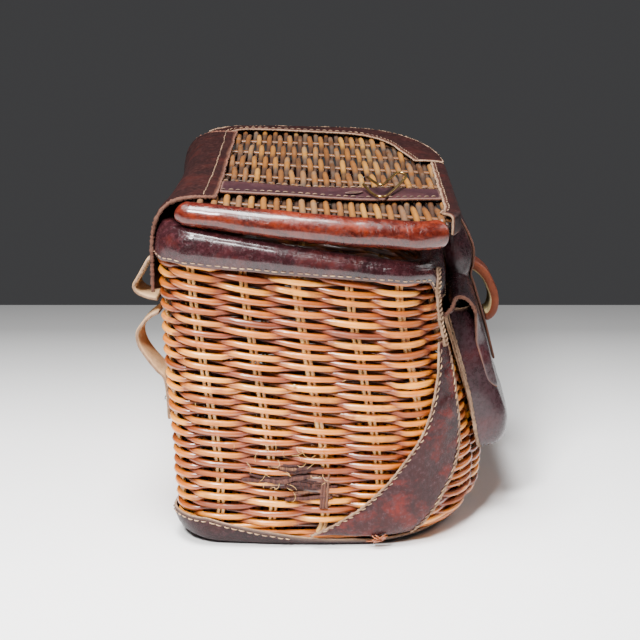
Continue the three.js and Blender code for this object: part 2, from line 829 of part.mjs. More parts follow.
// Broad leather band that joins the lid's back edge to the basket's back: shares of the way
// out from the lid's stitched edge, and heights above its foot as shares.
const hingeSections = [
  { out: 0.0, height: 1.0 },
  { out: 0.3, height: 1.005 },
  { out: 0.55, height: 0.985 },
  { out: 0.72, height: 0.94 },
  { out: 0.84, height: 0.865 },
  { out: 0.93, height: 0.76 },
  { out: 0.985, height: 0.62 },
  { out: 1.0, height: 0.45 },
  { out: 1.0, height: 0.2 },
  { out: 1.0, height: 0.0 },
];

function hingeLeather() {
  const columns = 12;
  const inner = lidBackReach - hingeTopWidth;
  const crown = lidWorldPoint(0, inner, 0).z + skin + gap * 2;
  const grid = (lift) => hingeSections.map(({ out, height }, row) => {
    const line = [];
    const before = hingeSections[Math.max(row - 1, 0)];
    const after = hingeSections[Math.min(row + 1, hingeSections.length - 1)];
    for (let column = 0; column <= columns; column++) {
      const x = hingePlace + mix(-hingeLength / 2, hingeLength / 2, column / columns);
      const outside = wallReach(x, hingeFoot, skinSeat * 3 + skin + gap * 3, 1);
      const rise = (before.height - after.height) * (crown - hingeFoot);
      const run = (after.out - before.out) * (outside - inner);
      const size = Math.hypot(rise, run);
      line.push(new THREE.Vector3(
        x,
        mix(inner, outside, out) + lift * rise / size,
        mix(hingeFoot, crown, height) + lift * run / size,
      ));
    }
    return line;
  });
  return mesh('hinge_leather', sheetSolid(grid(skin), grid(0)), darkLeather);
}

// Tan straps behind: each a band that stands out from the back in a fold. Its reach out is
// a share of the straps' own, its height a share of the rim's.
function backStrap(name, route) {
  const curve = new THREE.CatmullRomCurve3(route.map(({ out, at }) => {
    const height = at * rimBackHeight;
    const reach = wallReach(backStrapPlace, height, out * backStrapReach, 1);
    return new THREE.Vector3(0, reach, height);
  }), false, 'centripetal');
  const steps = 14;
  const rows = { outer: [], inner: [] };
  for (let step = 0; step <= steps; step++) {
    const middle = curve.getPoint(step / steps);
    const along = curve.getTangent(step / steps);
    const across = new THREE.Vector3(0, along.z, -along.y);
    for (const [key, side] of [['outer', 0.5], ['inner', -0.5]]) {
      const place = middle.clone().addScaledVector(across, side * backStrapThickness);
      rows[key].push([-0.5, 0.5].map((half) => (
        place.clone().setX(backStrapPlace + half * backStrapWidth)
      )));
    }
  }
  return mesh(name, sheetSolid(rows.outer, rows.inner), tanLeather);
}

const strapSeat = 0.174;
const upperStrapRoute = [
  { out: 0.41, at: 0.876 },
  { out: 0.52, at: 0.863 },
  { out: 0.83, at: 0.816 },
  { out: 1, at: 0.786 },
  { out: 0.87, at: 0.761 },
  { out: 0.52, at: 0.746 },
  { out: strapSeat, at: 0.739 },
];
const lowerStrapRoute = [
  { out: strapSeat, at: 0.709 },
  { out: 0.435, at: 0.701 },
  { out: 0.783, at: 0.671 },
  { out: 1, at: 0.637 },
  { out: 0.957, at: 0.594 },
  { out: 0.696, at: 0.551 },
  { out: 0.391, at: 0.513 },
  { out: strapSeat, at: 0.483 },
  { out: strapSeat, at: 0.359 },
];

function backStrapRivet() {
  const rivet = new THREE.CylinderGeometry(rivetRadius, rivetRadius, rivetLength, 10);
  const piece = mesh('back_strap_rivet', rivet, steel);
  const height = rivetShare * rimBackHeight;
  const seat = strapSeat * backStrapReach + (backStrapThickness + rivetLength) / 2 + gap;
  piece.position.set(backStrapPlace, wallReach(backStrapPlace, height, seat, 1), height);
  return piece;
}

const lid = new THREE.Group();
lid.position.set(0, lidBackReach, lidTopHeight);
lid.rotation.x = tilt;
lid.add(
  lidPanel(),
  lidBinding('lid_front_binding', 1.62, 2.98, lidFrontBindingWidth),
  lidBinding('lid_far_binding', 3.02, 4.8, lidFarBindingWidth),
  lidEndRoll(),
  lidCrossStrap(),
  wireClip(),
);

const creel = new THREE.Group();
creel.add(
  basketBody(),
  rimBinding(),
  baseLeather(),
  cornerLeather('corner_leather_near', false),
  cornerLeather('corner_leather_far', true),
  pouchBody(),
  pouchFlap(),
  closureStrap(),
  frontLoop(),
  hingeLeather(),
  backStrap('back_strap_upper', upperStrapRoute),
  backStrap('back_strap_lower', lowerStrapRoute),
  backStrapRivet(),
  lid,
);

// The origin lies under the middle of the whole creel, on the surface that it stands on.
const whole = new THREE.Box3().setFromObject(creel, true);
const centre = whole.getCenter(new THREE.Vector3());
creel.position.set(-centre.x, -centre.y, -whole.min.z);

export default creel;
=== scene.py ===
import math

import bpy
import numpy as np
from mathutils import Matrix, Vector, noise


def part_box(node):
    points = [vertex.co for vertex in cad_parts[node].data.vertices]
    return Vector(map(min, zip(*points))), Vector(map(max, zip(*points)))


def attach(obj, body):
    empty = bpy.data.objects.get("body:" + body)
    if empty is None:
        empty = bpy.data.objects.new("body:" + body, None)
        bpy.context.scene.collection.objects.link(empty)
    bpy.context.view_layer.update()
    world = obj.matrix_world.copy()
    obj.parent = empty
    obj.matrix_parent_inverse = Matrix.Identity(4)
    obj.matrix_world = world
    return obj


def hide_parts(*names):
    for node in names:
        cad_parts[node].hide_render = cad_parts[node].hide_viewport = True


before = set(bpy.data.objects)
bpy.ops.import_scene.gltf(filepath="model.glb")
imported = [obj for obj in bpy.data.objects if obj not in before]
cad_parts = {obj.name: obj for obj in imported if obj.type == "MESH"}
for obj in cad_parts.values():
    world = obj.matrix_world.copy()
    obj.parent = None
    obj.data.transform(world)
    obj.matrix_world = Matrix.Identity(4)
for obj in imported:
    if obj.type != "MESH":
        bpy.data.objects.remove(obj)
for name in ("Cube", "Light", "Camera"):
    if name in bpy.data.objects:
        bpy.data.objects.remove(bpy.data.objects[name])
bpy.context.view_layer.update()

# A vintage creel: plain-woven whole willow, bound in oxblood leather, lid left ajar.
# Sizes are millimetres on the creel itself, and become metres when a mesh is made.
dice = np.random.default_rng(11)
noise.seed_set(11)

basket = {
    "length": 312,
    "backReach": 117,
    "frontReach": 116,
    "frontBow": 8,
    "backBow": -12,
    "endBow": 7,
    "nearFrontRound": 70,
    "farFrontRound": 100,
    "nearBackRound": 27,
    "farBackRound": 42,
    "rimBack": 234,
    "rimFront": 203,
}
leather = {"skin": 2.4, "seat": 0.6, "gap": 0.35, "inset": 2.2}

# height share, then shares of length, back reach, front reach and front rounding
wallTable = np.array([
    (0.0, 0.93, 0.8, 0.7, 0.8),
    (0.012, 0.952, 0.845, 0.77, 0.86),
    (0.035, 0.976, 0.888, 0.86, 0.93),
    (0.075, 0.993, 0.915, 0.945, 0.98),
    (0.14, 1.0, 0.93, 0.99, 1.0),
    (0.24, 1.0, 0.938, 1.0, 1.0),
    (0.36, 1.0, 0.952, 0.965, 0.93),
    (0.48, 1.0, 0.968, 0.91, 0.83),
    (0.62, 0.998, 0.982, 0.835, 0.72),
    (0.78, 0.994, 0.992, 0.745, 0.6),
    (0.9, 0.992, 1.0, 0.7, 0.54),
    (1.0, 0.985, 0.95, 0.68, 0.5),
])
fineShares = np.linspace(0, 1, 241)


def mix(a, b, share):
    return a + (b - a) * share


def smoothColumn(column):
    values = np.interp(fineShares, wallTable[:, 0], wallTable[:, column])
    padded = np.pad(values, 3, "edge")
    return np.convolve(padded, np.array([1, 2, 3, 4, 3, 2, 1]) / 16, "valid")


wallColumns = [smoothColumn(column) for column in range(1, 5)]


# Walks a plan: near end 0-1, corner, front 2-3, corner, far end 4-5, corner, back 6-7, corner
def planPoints(station, half, back, front, rounds, bows):
    nearFront, farFront, farBack, nearBack = rounds
    stretch = np.floor(station).astype(int) % 8
    share = station - np.floor(station)
    c, s = np.cos(share * math.pi / 2), np.sin(share * math.pi / 2)
    flat = 0 * share
    xs = [
        flat - half,
        -half + nearFront[0] * (1 - c),
        mix(-half + nearFront[0], half - farFront[0], share),
        half - farFront[0] * (1 - s),
        flat + half,
        half - farBack[0] * (1 - c),
        mix(half - farBack[0], -half + nearBack[0], share),
        -half + nearBack[0] * (1 - s),
    ]
    ys = [
        mix(back - nearBack[1], nearFront[1] - front, share),
        -front + nearFront[1] * (1 - s),
        flat - front,
        -front + farFront[1] * (1 - c),
        mix(farFront[1] - front, back - farBack[1], share),
        back - farBack[1] * (1 - s),
        flat + back,
        back - nearBack[1] * (1 - c),
    ]
    x, y = np.choose(stretch, xs), np.choose(stretch, ys)
    middle = (back - front) / 2
    depthShare = (y - middle) / ((back + front) / 2)
    sideBow = np.where(y > middle, bows[1], -bows[0])
    return (
        x + np.sign(x) * bows[2] * (1 - depthShare**2),
        y + sideBow * (1 - (x / half) ** 2),
    )


# The basket's plan at a share of the height, grown by an offset
def bodyPlan(at, offset):
    length, back, front, corner = (np.interp(at, fineShares, column) for column in wallColumns)
    nearFront = basket["nearFrontRound"] * corner + offset
    farFront = basket["farFrontRound"] * corner + offset
    farBack = basket["farBackRound"] + offset
    nearBack = basket["nearBackRound"] + offset
    return (
        basket["length"] / 2 * length + offset,
        basket["backReach"] * back + offset,
        basket["frontReach"] * front + offset,
        [(r, r) for r in (nearFront, farFront, farBack, nearBack)],
        (basket["frontBow"], basket["backBow"], basket["endBow"]),
    )


rimFrontPlace = -basket["frontReach"] * wallTable[-1, 3]
rimBackPlace = basket["backReach"] * wallTable[-1, 2]


def rimHeight(y):
    share = (y - rimFrontPlace) / (rimBackPlace - rimFrontPlace)
    return mix(basket["rimFront"], basket["rimBack"], share)


# Points on the wall: stations, height shares, and how far out from the wicker's plan
def wallPoints(station, at, offset):
    station, at, offset = np.broadcast_arrays(*(np.asarray(v, float) for v in (station, at, offset)))
    x, y = planPoints(station, *bodyPlan(at, offset))
    return np.stack([x, y, at * rimHeight(y)], -1)


# Where the front (side -1) or back (side 1) wall stands at a length and height
def wallReach(x, height, offset, side):
    x, height, offset = np.broadcast_arrays(*(np.asarray(v, float) for v in (x, height, offset)))
    at = height / rimHeight(rimFrontPlace if side < 0 else basket["backReach"])
    for attempt in range(6):
        half, back, front, rounds, bows = bodyPlan(np.clip(at, 0, 1), offset)
        reach = front if side < 0 else back
        near, far = (rounds[0], rounds[1]) if side < 0 else (rounds[3], rounds[2])
        r = np.where(x < 0, near[0], far[0])
        past = np.clip(np.abs(x) - (half - r), 0, r)
        cut = r - np.sqrt(np.maximum(r**2 - past**2, 0))
        bow = bows[0] if side < 0 else bows[1]
        y = side * (reach - cut + bow * (1 - (x / half) ** 2))
        at = height / rimHeight(y)
    return y


# The frame's origin lies under the middle of the whole creel, the tables' under the basket's.
strapPlace = -112
strapLow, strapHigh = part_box("back_strap_upper")
walked = wallPoints(np.linspace(0, 8, 800), 0.9, 0)
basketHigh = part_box("basket_body")[1]
shiftX = (strapLow.x + strapHigh.x) * 500 - strapPlace
shiftY = basketHigh.y * 1000 - walked[:, 1].max()
shift = np.array([shiftX, shiftY, 0.0])


class MeshHeap:
    # gathers grids of points into one mesh, with values kept at its points
    def __init__(self):
        self.points, self.faces, self.values, self.count = [], [], {}, 0

    def addGrid(self, grid, closedAlong=False, closedRound=True, capped=False, **values):
        rows, columns = grid.shape[:2]
        ids = np.arange(rows * columns).reshape(rows, columns) + self.count
        if closedAlong:
            ids = np.concatenate([ids, ids[:1]])
        if closedRound:
            ids = np.concatenate([ids, ids[:, :1]], 1)
        quads = np.stack([ids[:-1, :-1], ids[:-1, 1:], ids[1:, 1:], ids[1:, :-1]], -1)
        self.faces += quads.reshape(-1, 4).tolist()
        if capped:
            self.faces.append(ids[0, :columns][::-1].tolist())
            self.faces.append(ids[rows - 1, :columns].tolist())
        self.points.append(grid.reshape(-1, 3))
        for name, value in values.items():
            size = (rows, columns, 3) if name == "grain" else (rows, columns)
            spread = np.broadcast_to(value, size).reshape(rows * columns, -1)
            self.values.setdefault(name, []).append(spread)
        self.count += rows * columns

    def addRod(self, grid, **values):
        self.addGrid(grid, False, True, True, **values)

    def build(self, name, *materials):
        points = (np.concatenate(self.points) + shift) * 0.001
        mesh = bpy.data.meshes.new(name)
        mesh.from_pydata(points.tolist(), [], self.faces)
        for key, parts in self.values.items():
            stacked = np.concatenate(parts).astype(np.float32)
            kind = "FLOAT_VECTOR" if key == "grain" else "FLOAT"
            attribute = mesh.attributes.new(key, kind, "POINT")
            attribute.data.foreach_set("vector" if key == "grain" else "value", stacked.ravel())
        for material in materials:
            mesh.materials.append(material)
        mesh.shade_smooth()
        mesh.update()
        piece = bpy.data.objects.new(name, mesh)
        bpy.context.scene.collection.objects.link(piece)
        return piece


def unit(vectors):
    return vectors / np.maximum(np.linalg.norm(vectors, axis=-1, keepdims=True), 1e-9)


def upright(count):
    return np.tile([0, 0, 1.0], (count, 1))


# Evens out a run of values, with its ends kept
def softened(values, weights):
    weights = np.array(weights)
    padded = np.pad(values, len(weights) // 2, "reflect", reflect_type="odd")
    return np.convolve(padded, weights / weights.sum(), "valid")


# Rings round a path: outward leads the first side, flatten squeezes along it
def tube(path, outward, radius, sides, closed=False, flatten=1.0):
    if closed:
        along = np.roll(path, -1, 0) - np.roll(path, 1, 0)
    else:
        along = np.gradient(path, axis=0)
    along = unit(along)
    outward = unit(outward - along * np.sum(along * outward, -1, keepdims=True))
    across = np.cross(along, outward)
    turn = np.arange(sides) / sides * 2 * math.pi
    radius = np.broadcast_to(np.asarray(radius, float), (len(path),))[:, None, None]
    c, s = np.cos(turn)[None, :, None], np.sin(turn)[None, :, None]
    return path[:, None] + (outward[:, None] * c * flatten + across[:, None] * s) * radius


def pathLengths(path, closed=False):
    ends = np.concatenate([path, path[:1]]) if closed else path
    return np.concatenate([[0], np.cumsum(np.linalg.norm(np.diff(ends, axis=0), axis=1))])


# Points at given lengths along a path
def alongPath(path, places, closed=False):
    ends = np.concatenate([path, path[:1]]) if closed else path
    lengths = pathLengths(path, closed)
    if closed:
        places = np.mod(places, lengths[-1])
    return np.stack([np.interp(places, lengths, ends[:, axis]) for axis in range(3)], -1)


# A smooth curve through points, evenly spaced
def smoothRoute(points, count):
    points = np.concatenate([[2 * points[0] - points[1]], points, [2 * points[-1] - points[-2]]])
    fine = []
    for span in range(len(points) - 3):
        a, b, c, d = points[span:span + 4]
        t = np.linspace(0, 1, 12, endpoint=False)[:, None]
        second, third = 2 * a - 5 * b + 4 * c - d, 3 * b - a - 3 * c + d
        fine.append(0.5 * (2 * b + (c - a) * t + second * t**2 + third * t**3))
    fine = np.concatenate(fine + [points[-2][None]])
    return alongPath(fine, np.linspace(0, pathLengths(fine)[-1], count))


def gridNormals(grid, closedRound=False):
    if closedRound:
        across = np.roll(grid, -1, 1) - np.roll(grid, 1, 1)
    else:
        across = np.gradient(grid, axis=1)
    return unit(np.cross(np.gradient(grid, axis=0), across))


class Link:
    # one socket of a shader, so that its maths reads as plain arithmetic
    def __init__(self, tree, socket=None):
        self.tree, self.socket = tree, socket

    def node(self, kind, settings=None, sockets=None, out=0):
        made = self.tree.nodes.new(kind)
        for key, value in (settings or {}).items():
            if key == "stops":
                ramp = made.color_ramp
                while len(ramp.elements) < len(value):
                    ramp.elements.new(0.5)
                for element, (place, colour) in zip(ramp.elements, value):
                    element.position, element.color = place, colour
            else:
                setattr(made, key, value)
        for key, value in (sockets or {}).items():
            if isinstance(value, Link):
                self.tree.links.new(value.socket, made.inputs[key])
            else:
                made.inputs[key].default_value = value
        return Link(self.tree, made.outputs[out])

    def math(self, operation, first, second):
        return self.node("ShaderNodeMath", {"operation": operation}, {0: first, 1: second})

    def __add__(self, other):
        return self.math("ADD", self, other)

    __radd__ = __add__

    def __sub__(self, other):
        return self.math("SUBTRACT", self, other)

    def __rsub__(self, other):
        return self.math("SUBTRACT", other, self)

    def __mul__(self, other):
        return self.math("MULTIPLY", self, other)

    __rmul__ = __mul__

    def __truediv__(self, other):
        return self.math("DIVIDE", self, other)

    def __rtruediv__(self, other):
        return self.math("DIVIDE", other, self)

    def __pow__(self, other):
        return self.math("POWER", self, other)

    def __rpow__(self, other):
        return self.math("POWER", other, self)

    def above(self, low, high):
        limits = {"Value": self, "From Min": low, "From Max": high}
        return self.node("ShaderNodeMapRange", {"clamp": True}, limits)

    def ramp(self, *stops):
        return self.node("ShaderNodeValToRGB", {"stops": stops}, {"Fac": self})

    def blend(self, first, second):
        return self.node("ShaderNodeMix", {"data_type": "RGBA"}, {0: self, 6: first, 7: second}, 2)

    def stretched(self, factors):
        return self.node("ShaderNodeVectorMath", {"operation": "MULTIPLY"}, {0: self, 1: factors})

    def noise(self, scale, detail=3, roughness=0.55, distortion=0.0):
        values = {"Vector": self, "Scale": scale, "Detail": detail}
        values.update({"Roughness": roughness, "Distortion": distortion})
        return self.node("ShaderNodeTexNoise", None, values)

    def value(self, name):
        return self.node("ShaderNodeAttribute", {"attribute_name": name}, None, "Fac")

    def vector(self, name):
        return self.node("ShaderNodeAttribute", {"attribute_name": name}, None, "Vector")

    def place(self):
        return self.node("ShaderNodeTexCoord", None, None, "Object")

    def bump(self, strength, distance):
        values = {"Height": self, "Strength": strength, "Distance": distance}
        return self.node("ShaderNodeBump", None, values)


# A colour from its usual six-figure code
def paint(code):
    parts = [int(code[k:k + 2], 16) / 255 for k in (1, 3, 5)]
    return (*[v / 12.92 if v <= 0.04045 else ((v + 0.055) / 1.055) ** 2.4 for v in parts], 1)


def newMaterial(name, **plain):
    material = bpy.data.materials.new(name)
    material.use_nodes = True
    surface = material.node_tree.nodes["Principled BSDF"]
    for key, value in plain.items():
        surface.inputs[key.replace("_", " ")].default_value = value
    material.diffuse_color = plain.get("Base_Color", (0.4, 0.3, 0.2, 1))
    return material, Link(material.node_tree), surface


def wire(link, surface, socket):
    link.tree.links.new(link.socket, surface.inputs[socket])


# Willow: tone is each rod's own colour, tip grows towards the ends of each visible stretch
def willowMaterial(name, look):
    material, start, surface = newMaterial(name, IOR=1.45)
    surface.inputs["Coat Roughness"].default_value = look["coatRoughness"]
    tone, tip, stain = start.value("tone"), start.value("tip"), start.value("stain")
    grain = start.vector("grain")
    streaks = grain.stretched((0.035, 0.9, 1.0)).noise(1.0, 4, 0.6)
    blotches = grain.stretched((0.09, 0.25, 1.0)).noise(1.0, 3, 0.6)
    specks = grain.stretched((0.8, 0.8, 1.0)).noise(1.4, 2, 0.5)
    stops = [(place, paint(code)) for place, code in look["tones"]]
    colour = (tone + (blotches - 0.5) * 0.55).ramp(*stops)
    colour = (streaks.above(0.52, 0.75) * look["streak"]).blend(colour, paint(look["streakColour"]))
    # end stain and painted shade: darker towards the ends of each visible stretch, where the rod turns
    # into the wall
    ends = (tip + (blotches - 0.5) * 0.9).above(0.45, 1.0)
    colour = (ends * look["endStainAndShade"]).blend(colour, paint(look["endStainAndShadeColour"]))
    bark = (blotches + stain * 0.3).above(0.66, 0.86)
    colour = (bark * look["bark"]).blend(colour, paint(look["barkColour"]))
    # painted shade: near-black where rods dive behind the stakes, where they turn, and on their side
    # towards the wall
    colour = (start.value("grime") * look["grime"]).blend(colour, paint(look["paintedShadeColour"]))
    rotten = start.value("rot") * (0.6 + blotches * 0.8)
    colour = rotten.above(0.25, 0.75).blend(colour, paint(look["rotColour"]))
    colour = (specks.above(0.7, 0.76) * 0.5).blend(colour, paint(look["speckColour"]))
    wire(colour, surface, "Base Color")
    wire(look["roughness"] + streaks * 0.18 + bark * 0.2, surface, "Roughness")
    wire((1 - bark) * look["coat"], surface, "Coat Weight")
    wire((streaks * 0.7 + specks * 0.3).bump(look["bump"], 0.0006), surface, "Normal")
    return material


willowLook = {
    "tones": [
        (0.0, "#6e2c06"),
        (0.22, "#a65004"),
        (0.5, "#cf7004"),
        (0.78, "#f7a02c"),
        (0.93, "#de8630"),
        (1.0, "#b0582c"),
    ],
    "streak": 0.45,
    "streakColour": "#a04c14",
    # end stain and painted shade at the ends of each visible stretch
    "endStainAndShade": 0.85,
    "endStainAndShadeColour": "#7d2d12",
    "bark": 0.6,
    "barkColour": "#7d3a1e",
    "speckColour": "#5d3a30",
    # strength and colour of the painted shade in the weave's gaps and behind the rods
    "grime": 0.95,
    "paintedShadeColour": "#200c05",
    "rotColour": "#3a1f1a",
    "roughness": 0.36,
    "coat": 0.8,
    "coatRoughness": 0.16,
    "bump": 0.4,
}
lidWillowLook = {
    **willowLook,
    "tones": [
        (0.0, "#42250a"),
        (0.3, "#6e3f0e"),
        (0.6, "#8a5818"),
        (0.85, "#a06e26"),
        (1.0, "#6e5430"),
    ],
    # end stain and painted shade colour for the lid
    "endStainAndShadeColour": "#261a12",
    "bark": 0.55,
    "barkColour": "#4c4236",
    "streakColour": "#6e4216",
    "roughness": 0.5,
    "coat": 0.2,
}
stakeLook = {
    **willowLook,
    "tones": [(0.0, "#8a5622"), (0.5, "#b8823c"), (1.0, "#dcb068")],
    "streakColour": "#8a5420",
    # end stain and painted shade on the stakes
    "endStainAndShade": 0.45,
    "bark": 0.3,
}
brokenLook = {
    **willowLook,
    "tones": [(0.0, "#26110f"), (0.4, "#3c201b"), (0.7, "#57362c"), (1.0, "#8e6240")],
    # end stain and painted shade on the broken rods
    "endStainAndShade": 0.3,
    "endStainAndShadeColour": "#1f0f0d",
    "barkColour": "#321c1c",
    "bark": 0.9,
    "roughness": 0.75,
    "coat": 0.0,
    "bump": 1.0,
}


# Leather: edge is the distance in millimetres from the piece's cut edge
def leatherMaterial(name, look):
    material, start, surface = newMaterial(name, IOR=1.42, Base_Color=paint(look["base"]))
    surface.inputs["Coat Roughness"].default_value = look["coatRoughness"]
    surface.inputs["Specular IOR Level"].default_value = look["specular"]
    place = start.place()
    edge = start.value("edge")
    clouds = place.noise(look["cloudScale"], 3, 0.6, 0.6)
    patches = place.stretched((1.0, 0.8, 1.3)).noise(look["patchScale"], 4, 0.65, 0.3)
    mottle = place.noise(330, 3, 0.65)
    grain = place.noise(1300, 2, 0.6)
    creases = place.stretched((1.0, 1.0, 0.45)).noise(90, 4, 0.7, 1.2)
    creaseLines = 1 - ((creases - 0.5) * (creases - 0.5) * 900).above(0.0, 1.0)
    colour = clouds.above(0.3, 0.7).blend(paint(look["dark"]), paint(look["base"]))
    colour = (patches.above(0.5, 0.68) * look["patchAmount"]).blend(colour, paint(look["patch"]))
    colour = ((mottle - 0.5) * 1.6 + 0.35).above(0.3, 1.0).blend(colour, paint(look["fleck"]))
    colour = (creaseLines * look["creaseAmount"]).blend(colour, paint(look["crease"]))
    # dust and painted sheen: greyish patches blended in where the noise is high
    sheenAndDustMask = (mottle * 0.6 + clouds * 0.6).above(0.68, 0.9)
    colour = (sheenAndDustMask * look["sheenAndDustAmount"]).blend(colour, paint(look["sheenAndDust"]))
    worn = (1 - (edge / look["wearReach"] + (mottle - 0.5) * 0.9 + (clouds - 0.5)).above(0.0, 1.0))
    colour = (worn * look["wearAmount"]).blend(colour, paint(look["wear"]))
    colour = colour.stretched((look["deepen"],) * 3)
    wire(colour, surface, "Base Color")
    rough = look["roughness"] + (mottle - 0.5) * 0.25 + worn * 0.25 + sheenAndDustMask * 0.12
    wire(rough, surface, "Roughness")
    wire((1 - worn) * look["coat"], surface, "Coat Weight")
    height = grain * 0.16 + mottle * 0.35 + clouds * 0.7 - creaseLines * look["creaseDepth"]
    wire(height.bump(look["bump"], 0.0009), surface, "Normal")
    return material


rimLook = {
    "base": "#3f1c20",
    "dark": "#231013",
    "patch": "#6d2f2a",
    "patchAmount": 0.6,
    "fleck": "#573036",
    "crease": "#2c1417",
    "creaseAmount": 0.35,
    "creaseDepth": 0.35,
    # dust and painted sheen, greyish pink
    "sheenAndDust": "#8d7478",
    "sheenAndDustAmount": 0.1,
    "wear": "#9a7466",
    "wearAmount": 0.55,
    "wearReach": 2.0,
    "specular": 0.3,
    "deepen": 0.62,
    "roughness": 0.25,
    "coat": 0.45,
    "coatRoughness": 0.1,
    "cloudScale": 26,
    "patchScale": 38,
    "bump": 0.35,
}
rollLook = {
    **rimLook,
    "base": "#5e1a10",
    "dark": "#340d08",
    "patch": "#963413",
    "patchAmount": 0.85,
    "fleck": "#8f3620",
    "crease": "#34100c",
    "sheenAndDustAmount": 0.05,
    "wear": "#c06a38",
    "wearAmount": 0.35,
    "specular": 0.4,
    "roughness": 0.3,
    "coat": 0.5,
    "coatRoughness": 0.12,
    "cloudScale": 30,
    "patchScale": 34,
}
cornerLook = {
    **rimLook,
    "base": "#431311",
    "dark": "#2a1014",
    "patch": "#8a200f",
    "patchAmount": 0.75,
    "fleck": "#5a3a3e",
    # dust and painted grey-blue sheen
    "sheenAndDust": "#6e6067",
    "sheenAndDustAmount": 0.08,
    "specular": 0.2,
    "roughness": 0.22,
    "coat": 0.12,
    "cloudScale": 30,
    "patchScale": 42,
}
pouchLook = {
    **rimLook,
    "base": "#3f2429",
    "dark": "#2a171b",
    "patch": "#5a2425",
    "patchAmount": 0.55,
    "fleck": "#4f363d",
    # dust and painted purple-grey sheen
    "sheenAndDust": "#5b5058",
    "sheenAndDustAmount": 0.2,
    "roughness": 0.28,
    "coat": 0.35,
    "coatRoughness": 0.14,
}
lidLook = {
    **rimLook,
    "base": "#290d0b",
    "dark": "#1a0908",
    "patch": "#451913",
    "fleck": "#45221d",
    "sheenAndDust": "#6a4a3e",
    "sheenAndDustAmount": 0.15,
    "wear": "#8a5a44",
    "wearAmount": 0.45,
    "wearReach": 2.5,
    "roughness": 0.46,
    "coat": 0.15,
    "coatRoughness": 0.28,
}
strapLook = {
    **rimLook,
    "base": "#42242a",
    "dark": "#2e191e",
    "patch": "#52302f",
    "fleck": "#4a3034",
    "sheenAndDust": "#77656a",
    "sheenAndDustAmount": 0.3,
    "roughness": 0.42,
    "coat": 0.2,
    "coatRoughness": 0.3,
}
loopLook = {
    **rimLook,
    "base": "#7a3420",
    "dark": "#5a2418",
    "patch": "#9a4a28",
    "patchAmount": 0.7,
    "fleck": "#86482e",
    "wear": "#8f4a2a",
    "wearAmount": 0.4,
    "roughness": 0.4,
    "coat": 0.25,
}
baseLook = {
    **rimLook,
    "base": "#2a1719",
    "dark": "#1a0e10",
    "patch": "#43201d",
    "sheenAndDust": "#6f6468",
    "specular": 0.15,
    "wear": "#8c766a",
    "wearAmount": 0.6,
    "wearReach": 4.0,
    "roughness": 0.42,
    "coat": 0.06,
}
tanLook = {
    **rimLook,
    "deepen": 1.0,
    "base": "#cda67a",
    "dark": "#b68f66",
    "patch": "#dcbc94",
    "patchAmount": 0.5,
    "fleck": "#c29a70",
    "crease": "#8f6c4a",
    "creaseAmount": 0.3,
    "sheenAndDust": "#e0c8a8",
    "sheenAndDustAmount": 0.3,
    "wear": "#a88460",
    "wearAmount": 0.4,
    "roughness": 0.62,
    "coat": 0.0,
}
rawEdgeLook = {
    **tanLook,
    "base": "#7a6256",
    "dark": "#4c3a34",
    "patch": "#a08874",
    "patchAmount": 0.7,
    "fleck": "#8c7466",
    "crease": "#3f2d28",
    "creaseAmount": 0.6,
    "roughness": 0.75,
    "bump": 0.9,
}
rustEdgeLook = {
    **rawEdgeLook,
    "base": "#4c2b23",
    "dark": "#2e1916",
    "patch": "#6a3e30",
    "fleck": "#54332b",
    "sheenAndDustAmount": 0.1,
    "wear": "#74503f",
}
suedeLook = {
    **tanLook,
    "base": "#b3a072",
    "dark": "#6b5a30",
    "patch": "#d4c8a0",
    "patchAmount": 0.8,
    "fleck": "#8f7c48",
    "crease": "#4a3c20",
    "roughness": 0.85,
}
# near-black look for the painted shade inside the strap's slot
slotShadeLook = {**suedeLook, "base": "#1e1a12", "dark": "#12100b", "patch": "#262014"}

wicker = willowMaterial("goldenWillow", willowLook)
lidWicker = willowMaterial("grimyLidWillow", lidWillowLook)
peeled = willowMaterial("peeledStake", stakeLook)
broken = willowMaterial("brokenRod", brokenLook)
rimSkin = leatherMaterial("oxbloodRim", rimLook)
rollSkin = leatherMaterial("polishedRedRoll", rollLook)
cornerSkin = leatherMaterial("maroonCorner", cornerLook)
pouchSkin = leatherMaterial("darkPouch", pouchLook)
lidSkin = leatherMaterial("darkLidLeather", lidLook)
strapSkin = leatherMaterial("strapBrown", strapLook)
loopSkin = leatherMaterial("redLoop", loopLook)
baseSkin = leatherMaterial("scuffedBase", baseLook)
tanSkin = leatherMaterial("undyedTan", tanLook)
rawEdge = leatherMaterial("rawCutEdge", rawEdgeLook)
rustEdge = leatherMaterial("rustEdge", rustEdgeLook)
suede = leatherMaterial("oliveSuede", suedeLook)


def threadMaterial(name, low, high, soiled):
    material, start, surface = newMaterial(name, Roughness=0.7)
    twist = start.place().noise(900, 2, 0.6)
    dirt = start.place().noise(60, 3, 0.6)
    colour = twist.blend(paint(low), paint(high))
    wire((dirt.above(0.4, 0.62) * 0.85).blend(colour, paint(soiled)), surface, "Base Color")
    wire(twist.bump(0.6, 0.0004), surface, "Normal")
    return material


def metalMaterial(name, bright, dull, roughness):
    material, start, surface = newMaterial(name, Metallic=1.0)
    tarnish = start.place().noise(220, 4, 0.65)
    wire(tarnish.above(0.4, 0.65).blend(paint(bright), paint(dull)), surface, "Base Color")
    wire(roughness + tarnish * 0.3, surface, "Roughness")
    return material


thread = threadMaterial("waxedThread", "#8a6a4e", "#c4a27c", "#5a3c34")
dullThread = threadMaterial("grimyThread", "#5e4636", "#8a6c50", "#33211c")
# painted shade for the inside of the slot
slotPaintedShade = leatherMaterial("paintedSlotShade", slotShadeLook)
brass = metalMaterial("tarnishedBrass", "#c9a86a", "#6a4f2c", 0.18)
rivetSteel = metalMaterial("rivetSteel", "#dcdcdc", "#9a9a9a", 0.2)
print("materials made")


